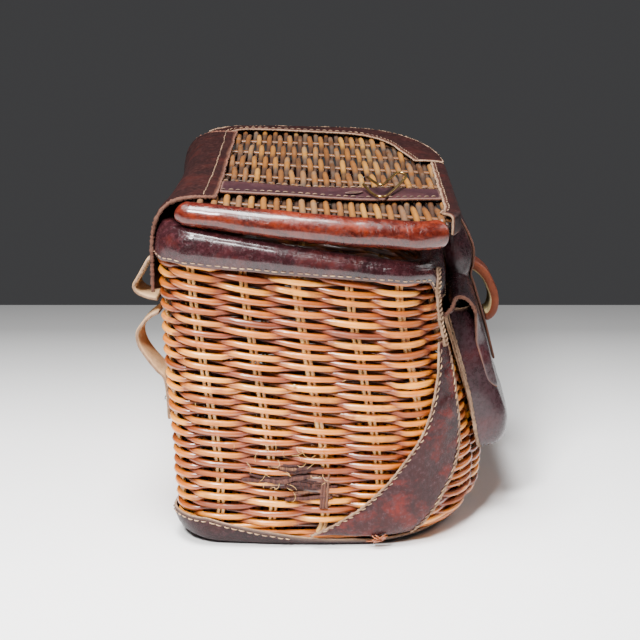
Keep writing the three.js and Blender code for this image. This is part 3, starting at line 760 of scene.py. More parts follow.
# Basket weave: rows of rods go out round one pair of stakes and in behind the next
weave = {
    "rows": 54,
    "firstRow": 0.03,
    "lastRow": 0.955,
    "stakes": 26,
    "samples": 8,
    "sides": 7,
    "rod": 2.3,
    "swing": 2.95,
    "wallMiddle": -5.35,
    "stakeRod": 1.45,
    "stakeSpread": 3.4,
    "turnStart": 2.36,
    "startStake": 0.5,
    "wales": 3,
    "farStouter": 0.2,
    "easeReach": 60,
}


# Worn place low on the near end, with broken rods and a bare stake
damage = {"station": 0.55, "at": 0.225, "reach": (20, 30, 13), "rods": 26, "fibres": 46}
bareStake = {"station": 0.65, "low": 0.145, "high": 0.262}
damage["centre"] = wallPoints(damage["station"], damage["at"], 0)


# One row's path round the wall, with the length up to each of its points
def rowLoop(at):
    stations = np.linspace(0, 8, 960, endpoint=False) + weave["turnStart"]
    points = wallPoints(stations % 8, at, 0)
    return points, pathLengths(points, True)


def levelOut(vectors):
    flat = vectors.copy()
    flat[:, 2] = 0
    return unit(flat)


# Places along, round and among the rods, for the grain of their skin
def rodGrain(grid, along, width, seed):
    sides = grid.shape[1]
    grain = np.zeros(grid.shape)
    grain[..., 0] = along[:, None]
    grain[..., 1] = (np.abs(np.arange(sides) - sides / 2) * width)[None]
    grain[..., 2] = seed
    return grain


# Painted shade: rods darken where they dive, where they turn, and on their side towards the wall
def rodPaintedShade(swing, sides, dive, turning, inner, power):
    facing = 0.5 - 0.5 * np.cos(np.arange(sides) / sides * 2 * math.pi)
    dived = np.clip(-swing, 0, 1)[:, None] * dive + turning * (1 - np.abs(swing))[:, None]
    return np.clip(dived + inner * facing[None] ** power, 0, 1)


def weaveBasket():
    heap = MeshHeap()
    stakes, samples = weave["stakes"], weave["samples"]
    count = stakes * samples
    turn = np.arange(count) / samples
    pitch = (weave["lastRow"] - weave["firstRow"]) / (weave["rows"] - 1)
    wander = dice.normal(0, 1, (weave["rows"] + 4, stakes))
    for row in range(weave["rows"]):
        at = weave["firstRow"] + pitch * row
        points, lengths = rowLoop(at)
        path = alongPath(points, (turn + weave["startStake"]) / stakes * lengths[-1], True)
        along = unit(np.roll(path, -1, 0) - np.roll(path, 1, 0))
        outward = levelOut(np.cross(upright(count), along))
        outward *= np.sign(np.sum(outward * (path * [1, 1, 0]), -1).mean())
        phase = math.pi * (turn + row) * (0.5 if row < weave["wales"] else 1)
        swing = np.cos(phase)
        bulge = np.sign(swing) * np.abs(swing) ** 0.8
        noisy = np.interp(turn, np.arange(stakes + 1), np.append(wander[row], wander[row, 0]))
        offset = weave["wallMiddle"] + weave["swing"] * bulge + 0.22 * noisy
        side = np.clip(path[:, 1] / weave["easeReach"], -1, 1)
        lift = 0.5 * np.roll(noisy, 5) - 0.7 * np.sin(phase) * np.sign(swing) * side * 0.6
        path = path + outward * offset[:, None]
        path[:, 2] += lift * (1 - 0.8 * np.clip(path[:, 0] / weave["easeReach"], 0, 1))
        start = dice.uniform(0, 9)
        taper = mix(1.1, 0.88, np.mod(turn + start, 9) / 9)
        radius = weave["rod"] * taper * mix(0.76, 1.03, np.clip(swing * 0.5 + 0.5, 0, 1) ** 0.7)
        radius = radius * (1 + weave["farStouter"] * np.clip(path[:, 0] / weave["easeReach"], 0, 1))
        grid = tube(path, outward, radius, weave["sides"], True)
        spindle = np.floor((turn + row + 0.5) / 2).astype(int) % (stakes // 2)
        rodTone = dice.uniform(0.12, 0.78) + dice.normal(0, 0.13, stakes // 2)
        tone = np.clip(rodTone[spindle], 0, 1)
        # tip: mask for the end stain and painted shade, rising where the rod dives
        tip = np.clip(1 - np.clip(swing, 0, 1) ** 0.8, 0, 1)
        stain = np.clip(dice.uniform(0, 1, stakes // 2)[spindle], 0, 1)
        grain = rodGrain(grid, turn * lengths[-1] / stakes, 2.2, row * 7.31)
        spot = ((path - damage["centre"]) / damage["reach"]) ** 2
        rot = np.exp(-np.sum(spot, -1) * 1.4) * (0.75 + 0.5 * rodTone[spindle])
        # painted shade where the rod dives and on its inner side
        grime = rodPaintedShade(swing, weave["sides"], 0.85, 0.25, 0.5, 1.5)
        tone, tip, stain, rot = (value[:, None] for value in (tone, tip, stain, rot))
        heap.addGrid(grid, True, True, tone=tone, tip=tip, stain=stain, rot=rot, grime=grime, grain=grain)
    return heap.build("willow_weave", wicker)


def stakePairs():
    heap = MeshHeap()
    heights = np.linspace(0.02, 0.975, 40)
    loops = [rowLoop(at) for at in heights]
    for stake in range(weave["stakes"]):
        for side in (-0.5, 0.5):
            path = []
            for points, lengths in loops:
                place = (stake + weave["startStake"]) / weave["stakes"] * lengths[-1]
                place += side * weave["stakeSpread"]
                ends = alongPath(points, np.array([place - 0.5, place, place + 0.5]), True)
                outward = np.cross(np.array([0, 0, 1.0]), ends[2] - ends[0])
                outward *= np.sign(outward[0] * ends[1][0] + outward[1] * ends[1][1])
                path.append(ends[1] + unit(outward) * (weave["wallMiddle"] + 0.7))
            path = np.array(path) + dice.normal(0, 0.12, (len(path), 3))
            grid = tube(path, path * [1, 1, 0], weave["stakeRod"] * dice.uniform(0.9, 1.12), 6)
            grain = grid * 1.0
            grain[..., 0] = grid[..., 2]
            grain[..., 1] = np.arange(6)[None] * 1.5
            grain[..., 2] = stake * 3.1 + side
            heap.addRod(grid, tone=dice.uniform(0.1, 0.9), tip=0.1, stain=0.2, grain=grain)
    return heap.build("peeled_stakes", peeled)


floorRods = {"pitch": 6.2, "rod": 2.4, "level": 8.2, "stakePitch": 36, "stakeRod": 1.8}


def basketFloor():
    heap = MeshHeap()
    edge = wallPoints(np.linspace(0, 8, 400), 0.03, -6)
    level, stakePitch = floorRods["level"], floorRods["stakePitch"]
    for k, y in enumerate(np.arange(-96, 98, floorRods["pitch"])):
        near = edge[np.abs(edge[:, 1] - y) < 3.2]
        if len(near) < 2:
            continue
        low, high = near[:, 0].min() + 3, near[:, 0].max() - 3
        if high - low < 20:
            continue
        x = np.arange(low, high, 5.0)
        wave = np.cos(math.pi * (x / stakePitch + k)) * 1.3
        path = np.stack([x, np.full_like(x, y), level + wave], -1)
        grid = tube(path, upright(len(x)), floorRods["rod"], 6)
        grain = grid * [1.0, 1.6, 0] + [0, 0, k * 5.7]
        # tip rises where the floor rod dips: end stain and painted shade
        tip = (wave / -2.6 + 0.5)[:, None]
        heap.addRod(grid, tone=dice.uniform(0.1, 0.7), tip=tip, stain=0.4, grain=grain)
    for x in np.arange(-126.0, 140, stakePitch):
        y = np.arange(-86, 92, 6.0)
        path = np.stack([np.full_like(y, x), y, np.full_like(y, level)], -1)
        grid = tube(path, upright(len(y)), floorRods["stakeRod"], 6)
        heap.addRod(grid, tone=0.5, tip=0.2, stain=0.3, grain=grid * 1.0)
    return heap.build("floor_weave", wicker)


def brokenRods():
    heap = MeshHeap()
    for k in range(damage["rods"]):
        middle = damage["station"] + dice.normal(-0.02, 0.1)
        at = damage["at"] + dice.normal(0.0, 0.026)
        half = dice.uniform(0.05, 0.16)
        t = np.linspace(-1, 1, 14)
        bend = dice.normal(0, 0.006) * t + dice.normal(0, 0.004) * t**2 + dice.normal(0, 0.0012, 14)
        depth = dice.uniform(-3.5, -0.6) + dice.normal(0, 0.18, 14)
        path = wallPoints(middle + half * t, at + bend, depth)
        thick = dice.uniform(0.8, 1.9) * (1 - 0.45 * np.abs(t) ** 5) * (1 + dice.normal(0, 0.08, 14))
        grid = tube(path, levelOut(path), thick, 7)
        grain = grid * [1.0, 3.0, 0] + [0, 0, k * 9.1]
        heap.addRod(grid, tone=dice.uniform(0, 1), tip=0.2, stain=0.8, grain=grain)
    for k in range(3):
        t = np.linspace(0, 1, 14)
        station = bareStake["station"] + k * 0.015 + dice.normal(0, 0.004) + 0.008 * t
        at = mix(bareStake["low"], bareStake["high"] - 0.01 * (k % 2), t)
        path = wallPoints(station, at, -0.4 + dice.normal(0, 0.15, 14))
        grid = tube(path, levelOut(path), dice.uniform(0.9, 1.3) * (1 - 0.6 * t**6), 6)
        heap.addRod(grid, tone=0.6 + 0.08 * k, tip=0.1, stain=0.3, grain=grid * [3.0, 3.0, 0.8])
    return heap.build("broken_rods", broken)


def looseFibres():
    heap = MeshHeap()
    for k in range(damage["fibres"]):
        near = k < damage["fibres"] * 0.7
        station = dice.normal(0.47, 0.12) if near else dice.uniform(-0.3, 1.1)
        at = dice.normal(0.29, 0.045) if near else dice.uniform(0.1, 0.85)
        t = np.linspace(0, 1, 9)
        turn = dice.uniform(0, 6.28) + dice.normal(0, 1.2) * t
        size = dice.uniform(3, 10) if near else dice.uniform(2, 5)
        steps = np.cumsum(np.stack([np.cos(turn), np.sin(turn)], -1), 0) * size / 9
        lift = -0.8 + 2.2 * np.sin(t * 2.6)
        path = wallPoints(station + steps[:, 0] / 110, at + steps[:, 1] / 230, lift)
        heap.addRod(tube(path, levelOut(path), 0.12, 5), tone=0.9, tip=0, stain=0, grain=[0, 0, k])
    speck = wallPoints(0.517, 0.564, 0.4)
    turn = np.linspace(-1.4, 1.4, 7)
    path = speck + np.outer(np.sin(turn), [0, 0, 1.1])
    bead = tube(path, np.tile([-1.0, 0, 0], (7, 1)), 1.1 * np.cos(turn), 8)
    heap.addRod(bead, tone=1, tip=0, stain=0, grain=[0, 0, 60])
    return heap.build("loose_fibres", peeled)


tuftPlace = {"station": 1.068, "at": 0.036, "fibres": 26}


def rustTuft():
    heap = MeshHeap()
    for k in range(tuftPlace["fibres"]):
        t = np.linspace(0, 1, 12)
        turn = dice.uniform(0, 6.28) + dice.uniform(-5, 5) * t
        steps = np.cumsum(np.stack([np.cos(turn), np.sin(turn)], -1), 0) * dice.uniform(3, 8) / 12
        station, at = tuftPlace["station"] + steps[:, 0] / 90, tuftPlace["at"] + steps[:, 1] / 260
        path = wallPoints(station, at, 4.8 + 2.0 * np.sin(t * 3))
        heap.addRod(tube(path, levelOut(path), 0.42, 5), tone=0.12, tip=0, stain=0, grain=[0, 0, k])
    return heap.build("rust_tuft", wicker)


basketWeave = weaveBasket()
brokenPatch, fibres, tuft = brokenRods(), looseFibres(), rustTuft()
stakes = stakePairs()
floorWeave = basketFloor()
for piece in (basketWeave, stakes, floorWeave, brokenPatch, fibres, tuft):
    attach(piece, "root")
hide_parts("basket_body")
print("basket woven,", len(basketWeave.data.polygons), "faces")


# Leather pieces are sheets of points, thickened inwards, with a raw cut edge of their own colour.
# The grid is the outer face, rows across the piece, and outside points away from its own inside
def leatherSheet(name, grid, outside, skin, raw, thickness, wrinkle, closedRound=False, lining=None):
    normals = gridNormals(grid, closedRound)
    if np.sum(normals * outside, -1).mean() > 0:
        grid = grid[::-1]
    heap = MeshHeap()
    fromTop = np.cumsum(np.linalg.norm(np.diff(grid, axis=0, prepend=grid[:1]), axis=-1), 0)
    edge = np.minimum(fromTop, fromTop[-1:] - fromTop)
    if not closedRound:
        fromSide = np.cumsum(np.linalg.norm(np.diff(grid, axis=1, prepend=grid[:, :1]), axis=-1), 1)
        edge = np.minimum(edge, np.minimum(fromSide, fromSide[:, -1:] - fromSide))
    heap.addGrid(grid, False, closedRound, edge=edge)
    piece = heap.build(name, skin, raw, lining or skin)
    thick = piece.modifiers.new("thickness", "SOLIDIFY")
    thick.thickness = thickness * 0.001
    thick.offset = -1
    thick.use_even_offset = False
    thick.material_offset_rim = 1
    thick.material_offset = 2 if lining else 0
    bakeSmooth(piece)
    wrinkled(piece, wrinkle, 55)
    return piece


def bakeSmooth(piece):
    smooth = piece.modifiers.new("smooth", "SUBSURF")
    smooth.levels = smooth.render_levels = 1
    bpy.context.view_layer.update()
    graph = bpy.context.evaluated_depsgraph_get()
    evaluated = piece.evaluated_get(graph)
    made = bpy.data.meshes.new_from_object(evaluated, preserve_all_data_layers=True, depsgraph=graph)
    piece.modifiers.clear()
    piece.data = made
    made.shade_smooth()


# Moves a sheet in and out a little, both faces together
def wrinkled(piece, height, scale):
    if not height:
        return
    places = np.empty(len(piece.data.vertices) * 3, np.float32)
    piece.data.vertices.foreach_get("co", places)
    places = places.reshape(-1, 3)
    moved = []
    for place in places.tolist():
        spot = Vector(place) * scale
        moved.append(noise.noise_vector(spot) + 0.5 * noise.noise_vector(spot * 2.7))
    places = places + np.array(moved) * height * 0.001
    piece.data.vertices.foreach_set("co", places.astype(np.float32).ravel())
    piece.data.update()


# Thread along a path on a surface: each stitch is a short bowed strand that dives at its ends
def stitchRow(heap, path, outward, pitch=5.6, length=4.0, radius=0.45, lift=0.25, closed=False, slant=0):
    lengths = pathLengths(path, closed)
    fullOutward = np.concatenate([outward, outward[:1]]) if closed else outward
    places = np.arange(pitch * 0.5, lengths[-1] - pitch * 0.4, pitch)
    t = np.linspace(-1, 1, 6)
    for place in places:
        place = place + dice.normal(0, 0.25)
        mark = place + t * length / 2 * dice.uniform(0.85, 1.1)
        points = alongPath(path, np.clip(mark, 0, lengths[-1] - 1e-6), closed)
        normal = unit(np.array([np.interp(place, lengths, fullOutward[:, axis]) for axis in range(3)]))
        across = unit(np.cross(points[-1] - points[0], normal))
        lifted = 0.35 + lift * (1 - t**2) - 0.45 * t**4
        aside = t * slant * length / 2 + dice.normal(0, 0.12)
        points = points + normal * lifted[:, None] + across * aside[:, None]
        thick = radius * dice.uniform(0.85, 1.15) * (1 - 0.45 * t**4)
        heap.addRod(tube(points, np.tile(normal, (len(t), 1)), thick, 5))


# The piece's normals, all on the outer side
def outerNormals(grid, outside):
    normals = gridNormals(grid)
    return normals * np.sign(np.sum(normals * outside, -1).mean())


# A cut edge curled into a lumpy, twisted line
def rawCord(heap, path, outward, radius, twist=0.25):
    lengths = pathLengths(path)
    even = np.arange(0, lengths[-1], 1.4)
    points = alongPath(path, even)
    lead = unit(np.stack([np.interp(even, lengths, outward[:, axis]) for axis in range(3)], -1))
    points = points + dice.normal(0, twist * 0.5, points.shape)
    thick = radius * (1 + 0.28 * np.sin(even * 1.9) + dice.normal(0, 0.12, len(even)))
    heap.addRod(tube(points, lead, thick, 7), edge=0.5)


def plainNoise(place, scale, seed):
    return np.array([noise.noise(Vector((p * scale, seed, 0.3))) for p in place])


# Rim binding: rolled over the basket's mouth, deeper in front, stitched along its lower edge
rim = {
    "insideDepth": 14,
    "bandBack": 24,
    "bandEnd": 12,
    "bandFront": 27,
    "wicker": 7.6,
    "stitchInset": 2.6,
    "bulge": 2.0,
    "thick": 2.2,
    "lipRise": 4.3,
}


# The band's depth: even along the back, narrower along the ends, deep in front
def rimBand(station, y):
    share = np.clip((basket["backReach"] - y) / (basket["backReach"] * 1.4), 0, 1)
    towardsFront = np.clip(np.minimum(station - 1.56, 3.7 - station) / 0.2, 0, 1)
    ease = towardsFront * towardsFront * (3 - 2 * towardsFront)
    return mix(mix(rim["bandBack"], rim["bandEnd"], share), rim["bandFront"], ease)


# The binding's face, from its lower outside edge over the lip to its lower inside edge
def rimGrid(stations):
    skin, seat = leather["skin"], leather["seat"]
    seatPoints = wallPoints(stations, 1, seat + skin)
    top = rimHeight(seatPoints[:, 1])
    band = rimBand(stations, seatPoints[:, 1]) + 0.7 * plainNoise(stations, 5, 3)
    rows = []
    for share in (1.0, 0.94, 0.8, 0.6, 0.4, 0.22, 0.08):
        down = share * band
        at = 1 - down / top
        bulge = rim["bulge"] * math.sin(min(share * 1.15, 1) * math.pi) - 0.5 * (share > 0.99)
        x, y = planPoints(stations, *bodyPlan(at, seat + skin + bulge))
        rows.append(np.stack([x, y, top - down], -1))
    outer = seat + skin
    inner = -rim["wicker"] - seat - skin
    middle, reach = (outer + inner) / 2, (outer - inner) / 2
    for turn in np.linspace(0, math.pi, 9):
        offset = middle + reach * math.cos(turn)
        rise = math.sin(turn) * rim["lipRise"] - 1.2
        x, y = planPoints(stations, *bodyPlan(1.0, offset))
        rows.append(np.stack([x, y, rimHeight(y) + rise - 0.5], -1))
    for drop in (4.0, 8.0, 12.0, rim["insideDepth"]):
        x, y = planPoints(stations, *bodyPlan(1.0, inner))
        rows.append(np.stack([x, y, rimHeight(y) - drop], -1))
    return np.stack(rows)


def rimBinding():
    stations = np.linspace(0, 8, 232, endpoint=False)
    grid = rimGrid(stations)
    outside = grid - np.array([0, 0, 190.0])
    outside = outside * np.where(np.arange(len(grid)) < 12, 1, -1)[:, None, None]
    piece = leatherSheet("rim_leather", grid, outside, rimSkin, rawEdge, rim["thick"], 0.4, True)
    heap = MeshHeap()
    low, above = grid[0], grid[2]
    span = np.linalg.norm(above - low, axis=1, keepdims=True)
    path = low + (above - low) / span * rim["stitchInset"]
    stitchRow(heap, path, levelOut(path), closed=True)
    stitches = heap.build("rim_stitches", thread)
    return piece, stitches


rimLeather, rimStitches = rimBinding()
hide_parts("rim_binding")


# Base leather: a tray under the foot, higher behind
base = {"cornerHeight": 24, "endHeight": 5, "stitchDrop": 3, "thick": 2.3, "floor": 0.15}


def baseTop(station):
    stretch = np.floor(station).astype(int) % 8
    share = station - np.floor(station)
    rise = base["cornerHeight"] - base["endHeight"]
    tops = np.full(len(station), float(base["cornerHeight"]))
    tops = np.where(stretch == 0, base["endHeight"] + rise * (1 - share) ** 2, tops)
    tops = np.where((stretch >= 1) & (stretch <= 3), base["endHeight"], tops)
    return np.where(stretch == 4, base["endHeight"] + rise * share**2, tops)


def baseTray():
    stations = np.linspace(0, 8, 208, endpoint=False)
    offset = leather["seat"] + leather["skin"]
    tops = baseTop(stations) + 0.6 * plainNoise(stations, 6, 9)
    rows = []
    for share in (0.0, 0.35, 0.7, 0.92):
        edge = wallPoints(stations, 0.0, offset)
        rows.append(edge * [share, share, 0] + [0, 0, base["floor"]])
    for share in (0, 0.15, 0.35, 0.6, 0.82, 1.0):
        at = share * tops / basket["rimBack"]
        edge = wallPoints(stations, at, offset - 0.3 * (share == 1.0))
        rows.append(edge + [0, 0, base["floor"] * (share == 0)])
    grid = np.stack(rows)
    outside = grid - np.array([0, 0, 60.0])
    piece = leatherSheet("base_tray", grid, outside, baseSkin, rawEdge, base["thick"], 0, True)
    heap = MeshHeap()
    back = (stations > 4.6) | (stations < 0.55)
    order = np.roll(np.arange(len(stations)), -int(4.6 / 8 * len(stations)))
    order = order[back[order]]
    path = wallPoints(stations[order], (tops[order] - base["stitchDrop"]) / basket["rimBack"], offset)
    stitchRow(heap, path, levelOut(path))
    return piece, heap.build("base_stitches", thread)


baseLeather, baseStitches = baseTray()
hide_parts("base_leather")

# Crescents on the front corners: height share, then the edges as stations of the plan
crescentTable = np.array([
    (0.045, 0.62, 1.27),
    (0.09, 0.74, 1.3),
    (0.15, 0.87, 1.35),
    (0.22, 0.98, 1.42),
    (0.31, 1.1, 1.51),
    (0.42, 1.25, 1.57),
    (0.54, 1.37, 1.62),
    (0.64, 1.47, 1.67),
    (0.735, 1.55, 1.69),
])

crescent = {"thick": 2.3, "wrinkle": 0.5, "stitchInset": 2.2, "edgeInset": 0.3, "cord": 0.85}


def crescentLeather(name, mirrored):
    at = np.linspace(crescentTable[0, 0], crescentTable[-1, 0], 46)
    sides = [np.interp(at, crescentTable[:, 0], crescentTable[:, k]) for k in (1, 2)]
    low, high = (softened(side, (1, 2, 3, 2, 1)) for side in sides)
    shares = np.linspace(0, 1, 17)
    station = mix(low[:, None], high[:, None], shares[None])
    if mirrored:
        station = 5 - station
    offset = leather["seat"] * 2 + leather["skin"]
    lift = np.where(np.abs(shares - 0.5) > 0.49, -0.5, 0.0)[None]
    grid = wallPoints(station, at[:, None], offset + lift)
    thick, wrinkle = crescent["thick"], crescent["wrinkle"]
    piece = leatherSheet(name, grid, grid * [1, 1, 0], cornerSkin, rawEdge, thick, wrinkle)
    heap, cords = MeshHeap(), MeshHeap()
    for column, inner in ((0, 2), (16, 14)):
        edge = grid[:, column]
        inward = unit(grid[:, inner] - edge)
        path = edge + inward * crescent["stitchInset"]
        stitchRow(heap, path[1:-1], levelOut(path[1:-1]), 5.4, 3.6, 0.42, 0.2, slant=0.35)
        rawCord(cords, edge + inward * crescent["edgeInset"], levelOut(edge), crescent["cord"])
    return piece, heap.build(name + "_stitches", thread), cords.build(name + "_edges", rawEdge)


nearCorner = crescentLeather("near_crescent", False)
farCorner = crescentLeather("far_crescent", True)
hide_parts("corner_leather_near")
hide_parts("corner_leather_far")


# height share, then the seam's station of the plan
seam = {"gap": 0.018, "cord": 1.15, "cordOut": 4.6, "lacePitch": 3.2, "laceOut": 5.6}
seamTable = np.array([(0.72, 1.62), (0.75, 1.64), (0.81, 1.63), (0.9, 1.66), (0.95, 1.7), (1.0, 1.72)])


# The laced seam from each crescent's tip up over the rim's front corner
def frontSeams():
    heap, laces = MeshHeap(), MeshHeap()
    at = np.linspace(0.72, 1.0, 26)
    for mirrored in (False, True):
        station = np.interp(at, seamTable[:, 0], seamTable[:, 1])
        for aside in (-seam["gap"], seam["gap"]):
            line = wallPoints(5 - station - aside if mirrored else station + aside, at, seam["cordOut"])
            rawCord(heap, line, levelOut(line), seam["cord"], 0.5)
        line = wallPoints(5 - station if mirrored else station, at, seam["laceOut"])
        stitchRow(laces, line, levelOut(line), seam["lacePitch"], 2.6, 0.5, 0.3, slant=1.1)
    return heap.build("front_corner_seams", rawEdge), laces.build("front_corner_lacing", thread)


cornerSeams, cornerLacing = frontSeams()
print("rim, base and corner leather cut")

# Pouch: hung on the front under the rim, its top fold and flap pinched in towards the ends
pouch = {
    "length": 208,
    "place": -9,
    "depth": 25,
    "bottom": 57,
    "top": 163,
    "flare": 15,
    "wall": 2.0,
    "flapThick": 2.6,
    "seat": 1.2,
    "sideDepth": 3.2,
    "sideRound": 0.12,
    "face": 0.86,
    "crown": 176,
    "flapEnd": 101,
    "overhang": 4,
    "cornerReach": 16,
    "cornerTuck": 9,
    "footFlare": 20,
}
# height share, then shares of depth and length
pouchTable = np.array([
    (0.0, 0.55, 0.95),
    (0.04, 0.76, 0.98),
    (0.12, 0.9, 1.0),
    (0.25, 1.0, 1.0),
    (0.42, 0.84, 0.995),
    (0.65, 0.86, 0.985),
    (0.85, 0.84, 0.97),
    (1.0, 0.72, 0.96),
])
# the flap's middle line: shares of the pouch's depth and of the way up to the crown
flapTable = np.array([
    (0.12, 0.87),
    (0.22, 0.96),
    (0.45, 1.0),
    (0.7, 0.98),
    (0.88, 0.9),
    (0.96, 0.74),
    (0.96, 0.5),
    (0.92, 0.25),
    (0.89, 0.0),
])


# Spread goes -1 to 1 across the pouch's outer face, from wall to wall
def pouchPoint(share, spread):
    depth = np.interp(share, pouchTable[:, 0], pouchTable[:, 1]) * pouch["depth"]
    half = np.interp(share, pouchTable[:, 0], pouchTable[:, 2]) * pouch["length"] / 2
    face = pouch["face"]
    turn = np.clip(np.abs(spread) - face, 0, 1 - face) / (1 - face)
    x = half * np.sign(spread) * np.minimum(np.abs(spread) / face, 1)
    edge = np.clip((half - np.abs(x)) / (half * pouch["sideRound"]), 0, 1)
    bend = np.sqrt(np.maximum(1 - (1 - edge) ** 2, 0))
    out = mix(pouch["seat"] + pouch["sideDepth"], depth, bend)
    out = np.where(np.abs(spread) > face, mix(out, pouch["seat"], turn), out)
    z = mix(pouch["bottom"], pouch["top"], share) + 0 * x
    flare = pouch["flare"] * share**3 * np.clip((np.abs(spread) - 0.9) / 0.1, 0, 1) ** 1.5
    x = x + np.sign(spread) * flare + pouch["place"]
    return np.stack([x, wallReach(x, z, out, -1), z], -1)


# Rows run along the flap's table, lift stands off its face
def flapGrid(xs, rows, lift):
    reach = np.interp(rows, np.arange(9), flapTable[:, 0]) * pouch["depth"]
    height = mix(pouch["flapEnd"], pouch["crown"], np.interp(rows, np.arange(9), flapTable[:, 1]))
    if len(rows) > 12:
        reach, height = (softened(values, (1, 2, 3, 2, 1)) for values in (reach, height))
    run, rise = np.gradient(reach), np.gradient(height)
    size = np.hypot(run, rise)
    z = height + lift * run / size
    out = reach - lift * rise / size
    x = np.broadcast_to(xs[None], (len(rows), len(xs)))
    z = np.broadcast_to(z[:, None], x.shape)
    return np.stack([x, wallReach(x, z, out[:, None] + leather["seat"], -1), z], -1)


def pouchPieces():
    shares = np.array([0.0, 0.03, 0.08, 0.15, 0.25, 0.36, 0.48, 0.6, 0.72, 0.84, 0.93, 1.0])
    stretches = ((-1, -0.86, 4), (-0.86, -0.7, 8), (-0.7, 0.7, 46), (0.7, 0.86, 8), (0.86, 1, 4))
    spread = np.concatenate([np.linspace(*stretch)[:-1] for stretch in stretches] + [[1.0]])
    grid = np.stack([pouchPoint(share, spread) for share in shares])
    sag = plainNoise(spread, 2.2, 4)[None] * np.sin(shares * math.pi)[:, None]
    grid[..., 1] += sag * 1.5
    under = grid[0].copy()
    under[:, 1] = wallReach(under[:, 0], under[:, 2], 2.4, -1)
    grid = np.concatenate([under[None], grid])
    front = leatherSheet("pouch_leather_body", grid, (0, -1, 0), pouchSkin, rawEdge, pouch["wall"], 0.5)
    heap = MeshHeap()
    for side in (-1, 1):
        for spread, thick in ((0.985, 1.0), (0.945, 0.8)):
            welt = np.array([side * spread])
            path = np.concatenate([pouchPoint(share, welt) for share in np.linspace(0, 1, 40)])
            lead = np.tile([side * 1.0, 0, 0], (len(path), 1))
            rawCord(heap, path + [side * 0.7, 0, 0], lead, thick, 0.3)
    edge = pouchPoint(1.0, np.linspace(-0.97, 0.97, 90))
    rawCord(heap, edge + [0, -0.2, 0.2], upright(90), 0.7, 0.2)
    welts = heap.build("pouch_welts", rawEdge)
    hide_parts("pouch_body")
    return front, welts


def flapPieces():
    half = pouch["length"] / 2 + pouch["overhang"]
    xs = np.linspace(-half, half, 76)
    rows = np.linspace(0, 8, 34)
    grid = flapGrid(pouch["place"] + xs, rows, 0.0)
    reach, tuck = pouch["cornerReach"], pouch["cornerTuck"]
    u = np.clip(np.abs(xs) - (half - reach), 0, reach) / reach
    low = np.clip((rows - 4.4) / 1.6, 0, 1)[:, None]
    grid[:, :, 0] -= np.sign(xs)[None] * u[None] * low * tuck
    grid[:, :, 1] += (1 - np.sqrt(1 - 0.96 * u**2))[None] * low * tuck
    grid[:, :, 2] += (1 - np.sqrt(1 - u**2))[None] * tuck * np.clip((rows - 6) / 2, 0, 1)[:, None]
    foot = (np.clip(1 - rows / 2.4, 0, 1) ** 2)[:, None] * (u**2)[None]
    grid[:, :, 0] += np.sign(xs)[None] * foot * pouch["footFlare"]
    seated = wallReach(grid[..., 0], grid[..., 2], 3.5 + 9 * (1 - foot), -1)
    grid[:, :, 1] = seated * foot + grid[:, :, 1] * (1 - foot)
    outside, thick = (0, -0.8, 0.5), pouch["flapThick"]
    piece = leatherSheet("pouch_leather_flap", grid, outside, pouchSkin, rustEdge, thick, 0.5)
    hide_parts("pouch_flap")
    heap = MeshHeap()
    normals = outerNormals(grid, outside)
    for column in (0, -1):
        path = grid[:20, column] - normals[:20, column] * 1.2
        rawCord(heap, path, normals[:20, column], 1.35, 0.2)
    return piece, heap.build("flap_edges", rustEdge)


pouchFront, pouchWelts = pouchPieces()
pouchFlap, flapEdges = flapPieces()

# Lid: tilted a little towards the back and sagging at the near front corner
lid = {
    "length": 310,
    "back": 101,
    "front": 99,
    "top": 251.5,
    "tilt": 1.4,
    "droop": 12,
    "thickness": 7,
    "bindingDrop": 12,
    "frontBinding": 11,
    "farBinding": 30,
    "bindingThick": 2.2,
    "rounds": ((38, 38), (126, 74), (42, 42), (12, 12)),
    "bows": (0, -12, 7),
}
strap = {"width": 33, "place": -102, "sweep": 24, "back": 70.3, "front": -87.3, "thick": 2.2}


def lidDroop(x, y):
    share = np.clip((lid["length"] / 2 - x) / lid["length"], 0, 1.1)
    return -lid["droop"] * share * (lid["back"] - y) / (lid["back"] + lid["front"])


def lidWorld(points):
    points = np.asarray(points, float)
    x, y = points[..., 0], points[..., 1] - lid["back"]
    z = points[..., 2] + lidDroop(points[..., 0], points[..., 1])
    c, s = math.cos(math.radians(lid["tilt"])), math.sin(math.radians(lid["tilt"]))
    return np.stack([x, y * c - z * s + lid["back"], y * s + z * c + lid["top"]], -1)


def lidPlan(inset):
    return (
        lid["length"] / 2 - inset,
        lid["back"] - inset,
        lid["front"] - inset,
        [(a - inset, b - inset) for a, b in lid["rounds"]],
        lid["bows"],
    )


# Points on the lid: a station of its outline, an inset from its edge, and a height
def lidPoints(station, inset, z):
    station = np.asarray(station, float)
    outer = np.stack(planPoints(station % 8, *lidPlan(0)), -1)
    closer = np.stack(planPoints(station % 8, *lidPlan(1)), -1)
    inward = unit(closer - outer)
    inset = np.broadcast_to(np.asarray(inset, float), station.shape)
    flat = outer + inward * inset[:, None]
    return np.concatenate([flat, np.broadcast_to(np.asarray(z, float), station.shape)[:, None]], 1)


def lidOutline(inset):
    return lidPoints(np.linspace(0, 8, 640, endpoint=False), inset, 0)


lidWeave = {
    "pitch": 4.35,
    "rod": 2.25,
    "swing": 1.9,
    "stakePitch": 48,
    "firstStake": -130,
    "level": -3.4,
    "inset": 5.5,
}


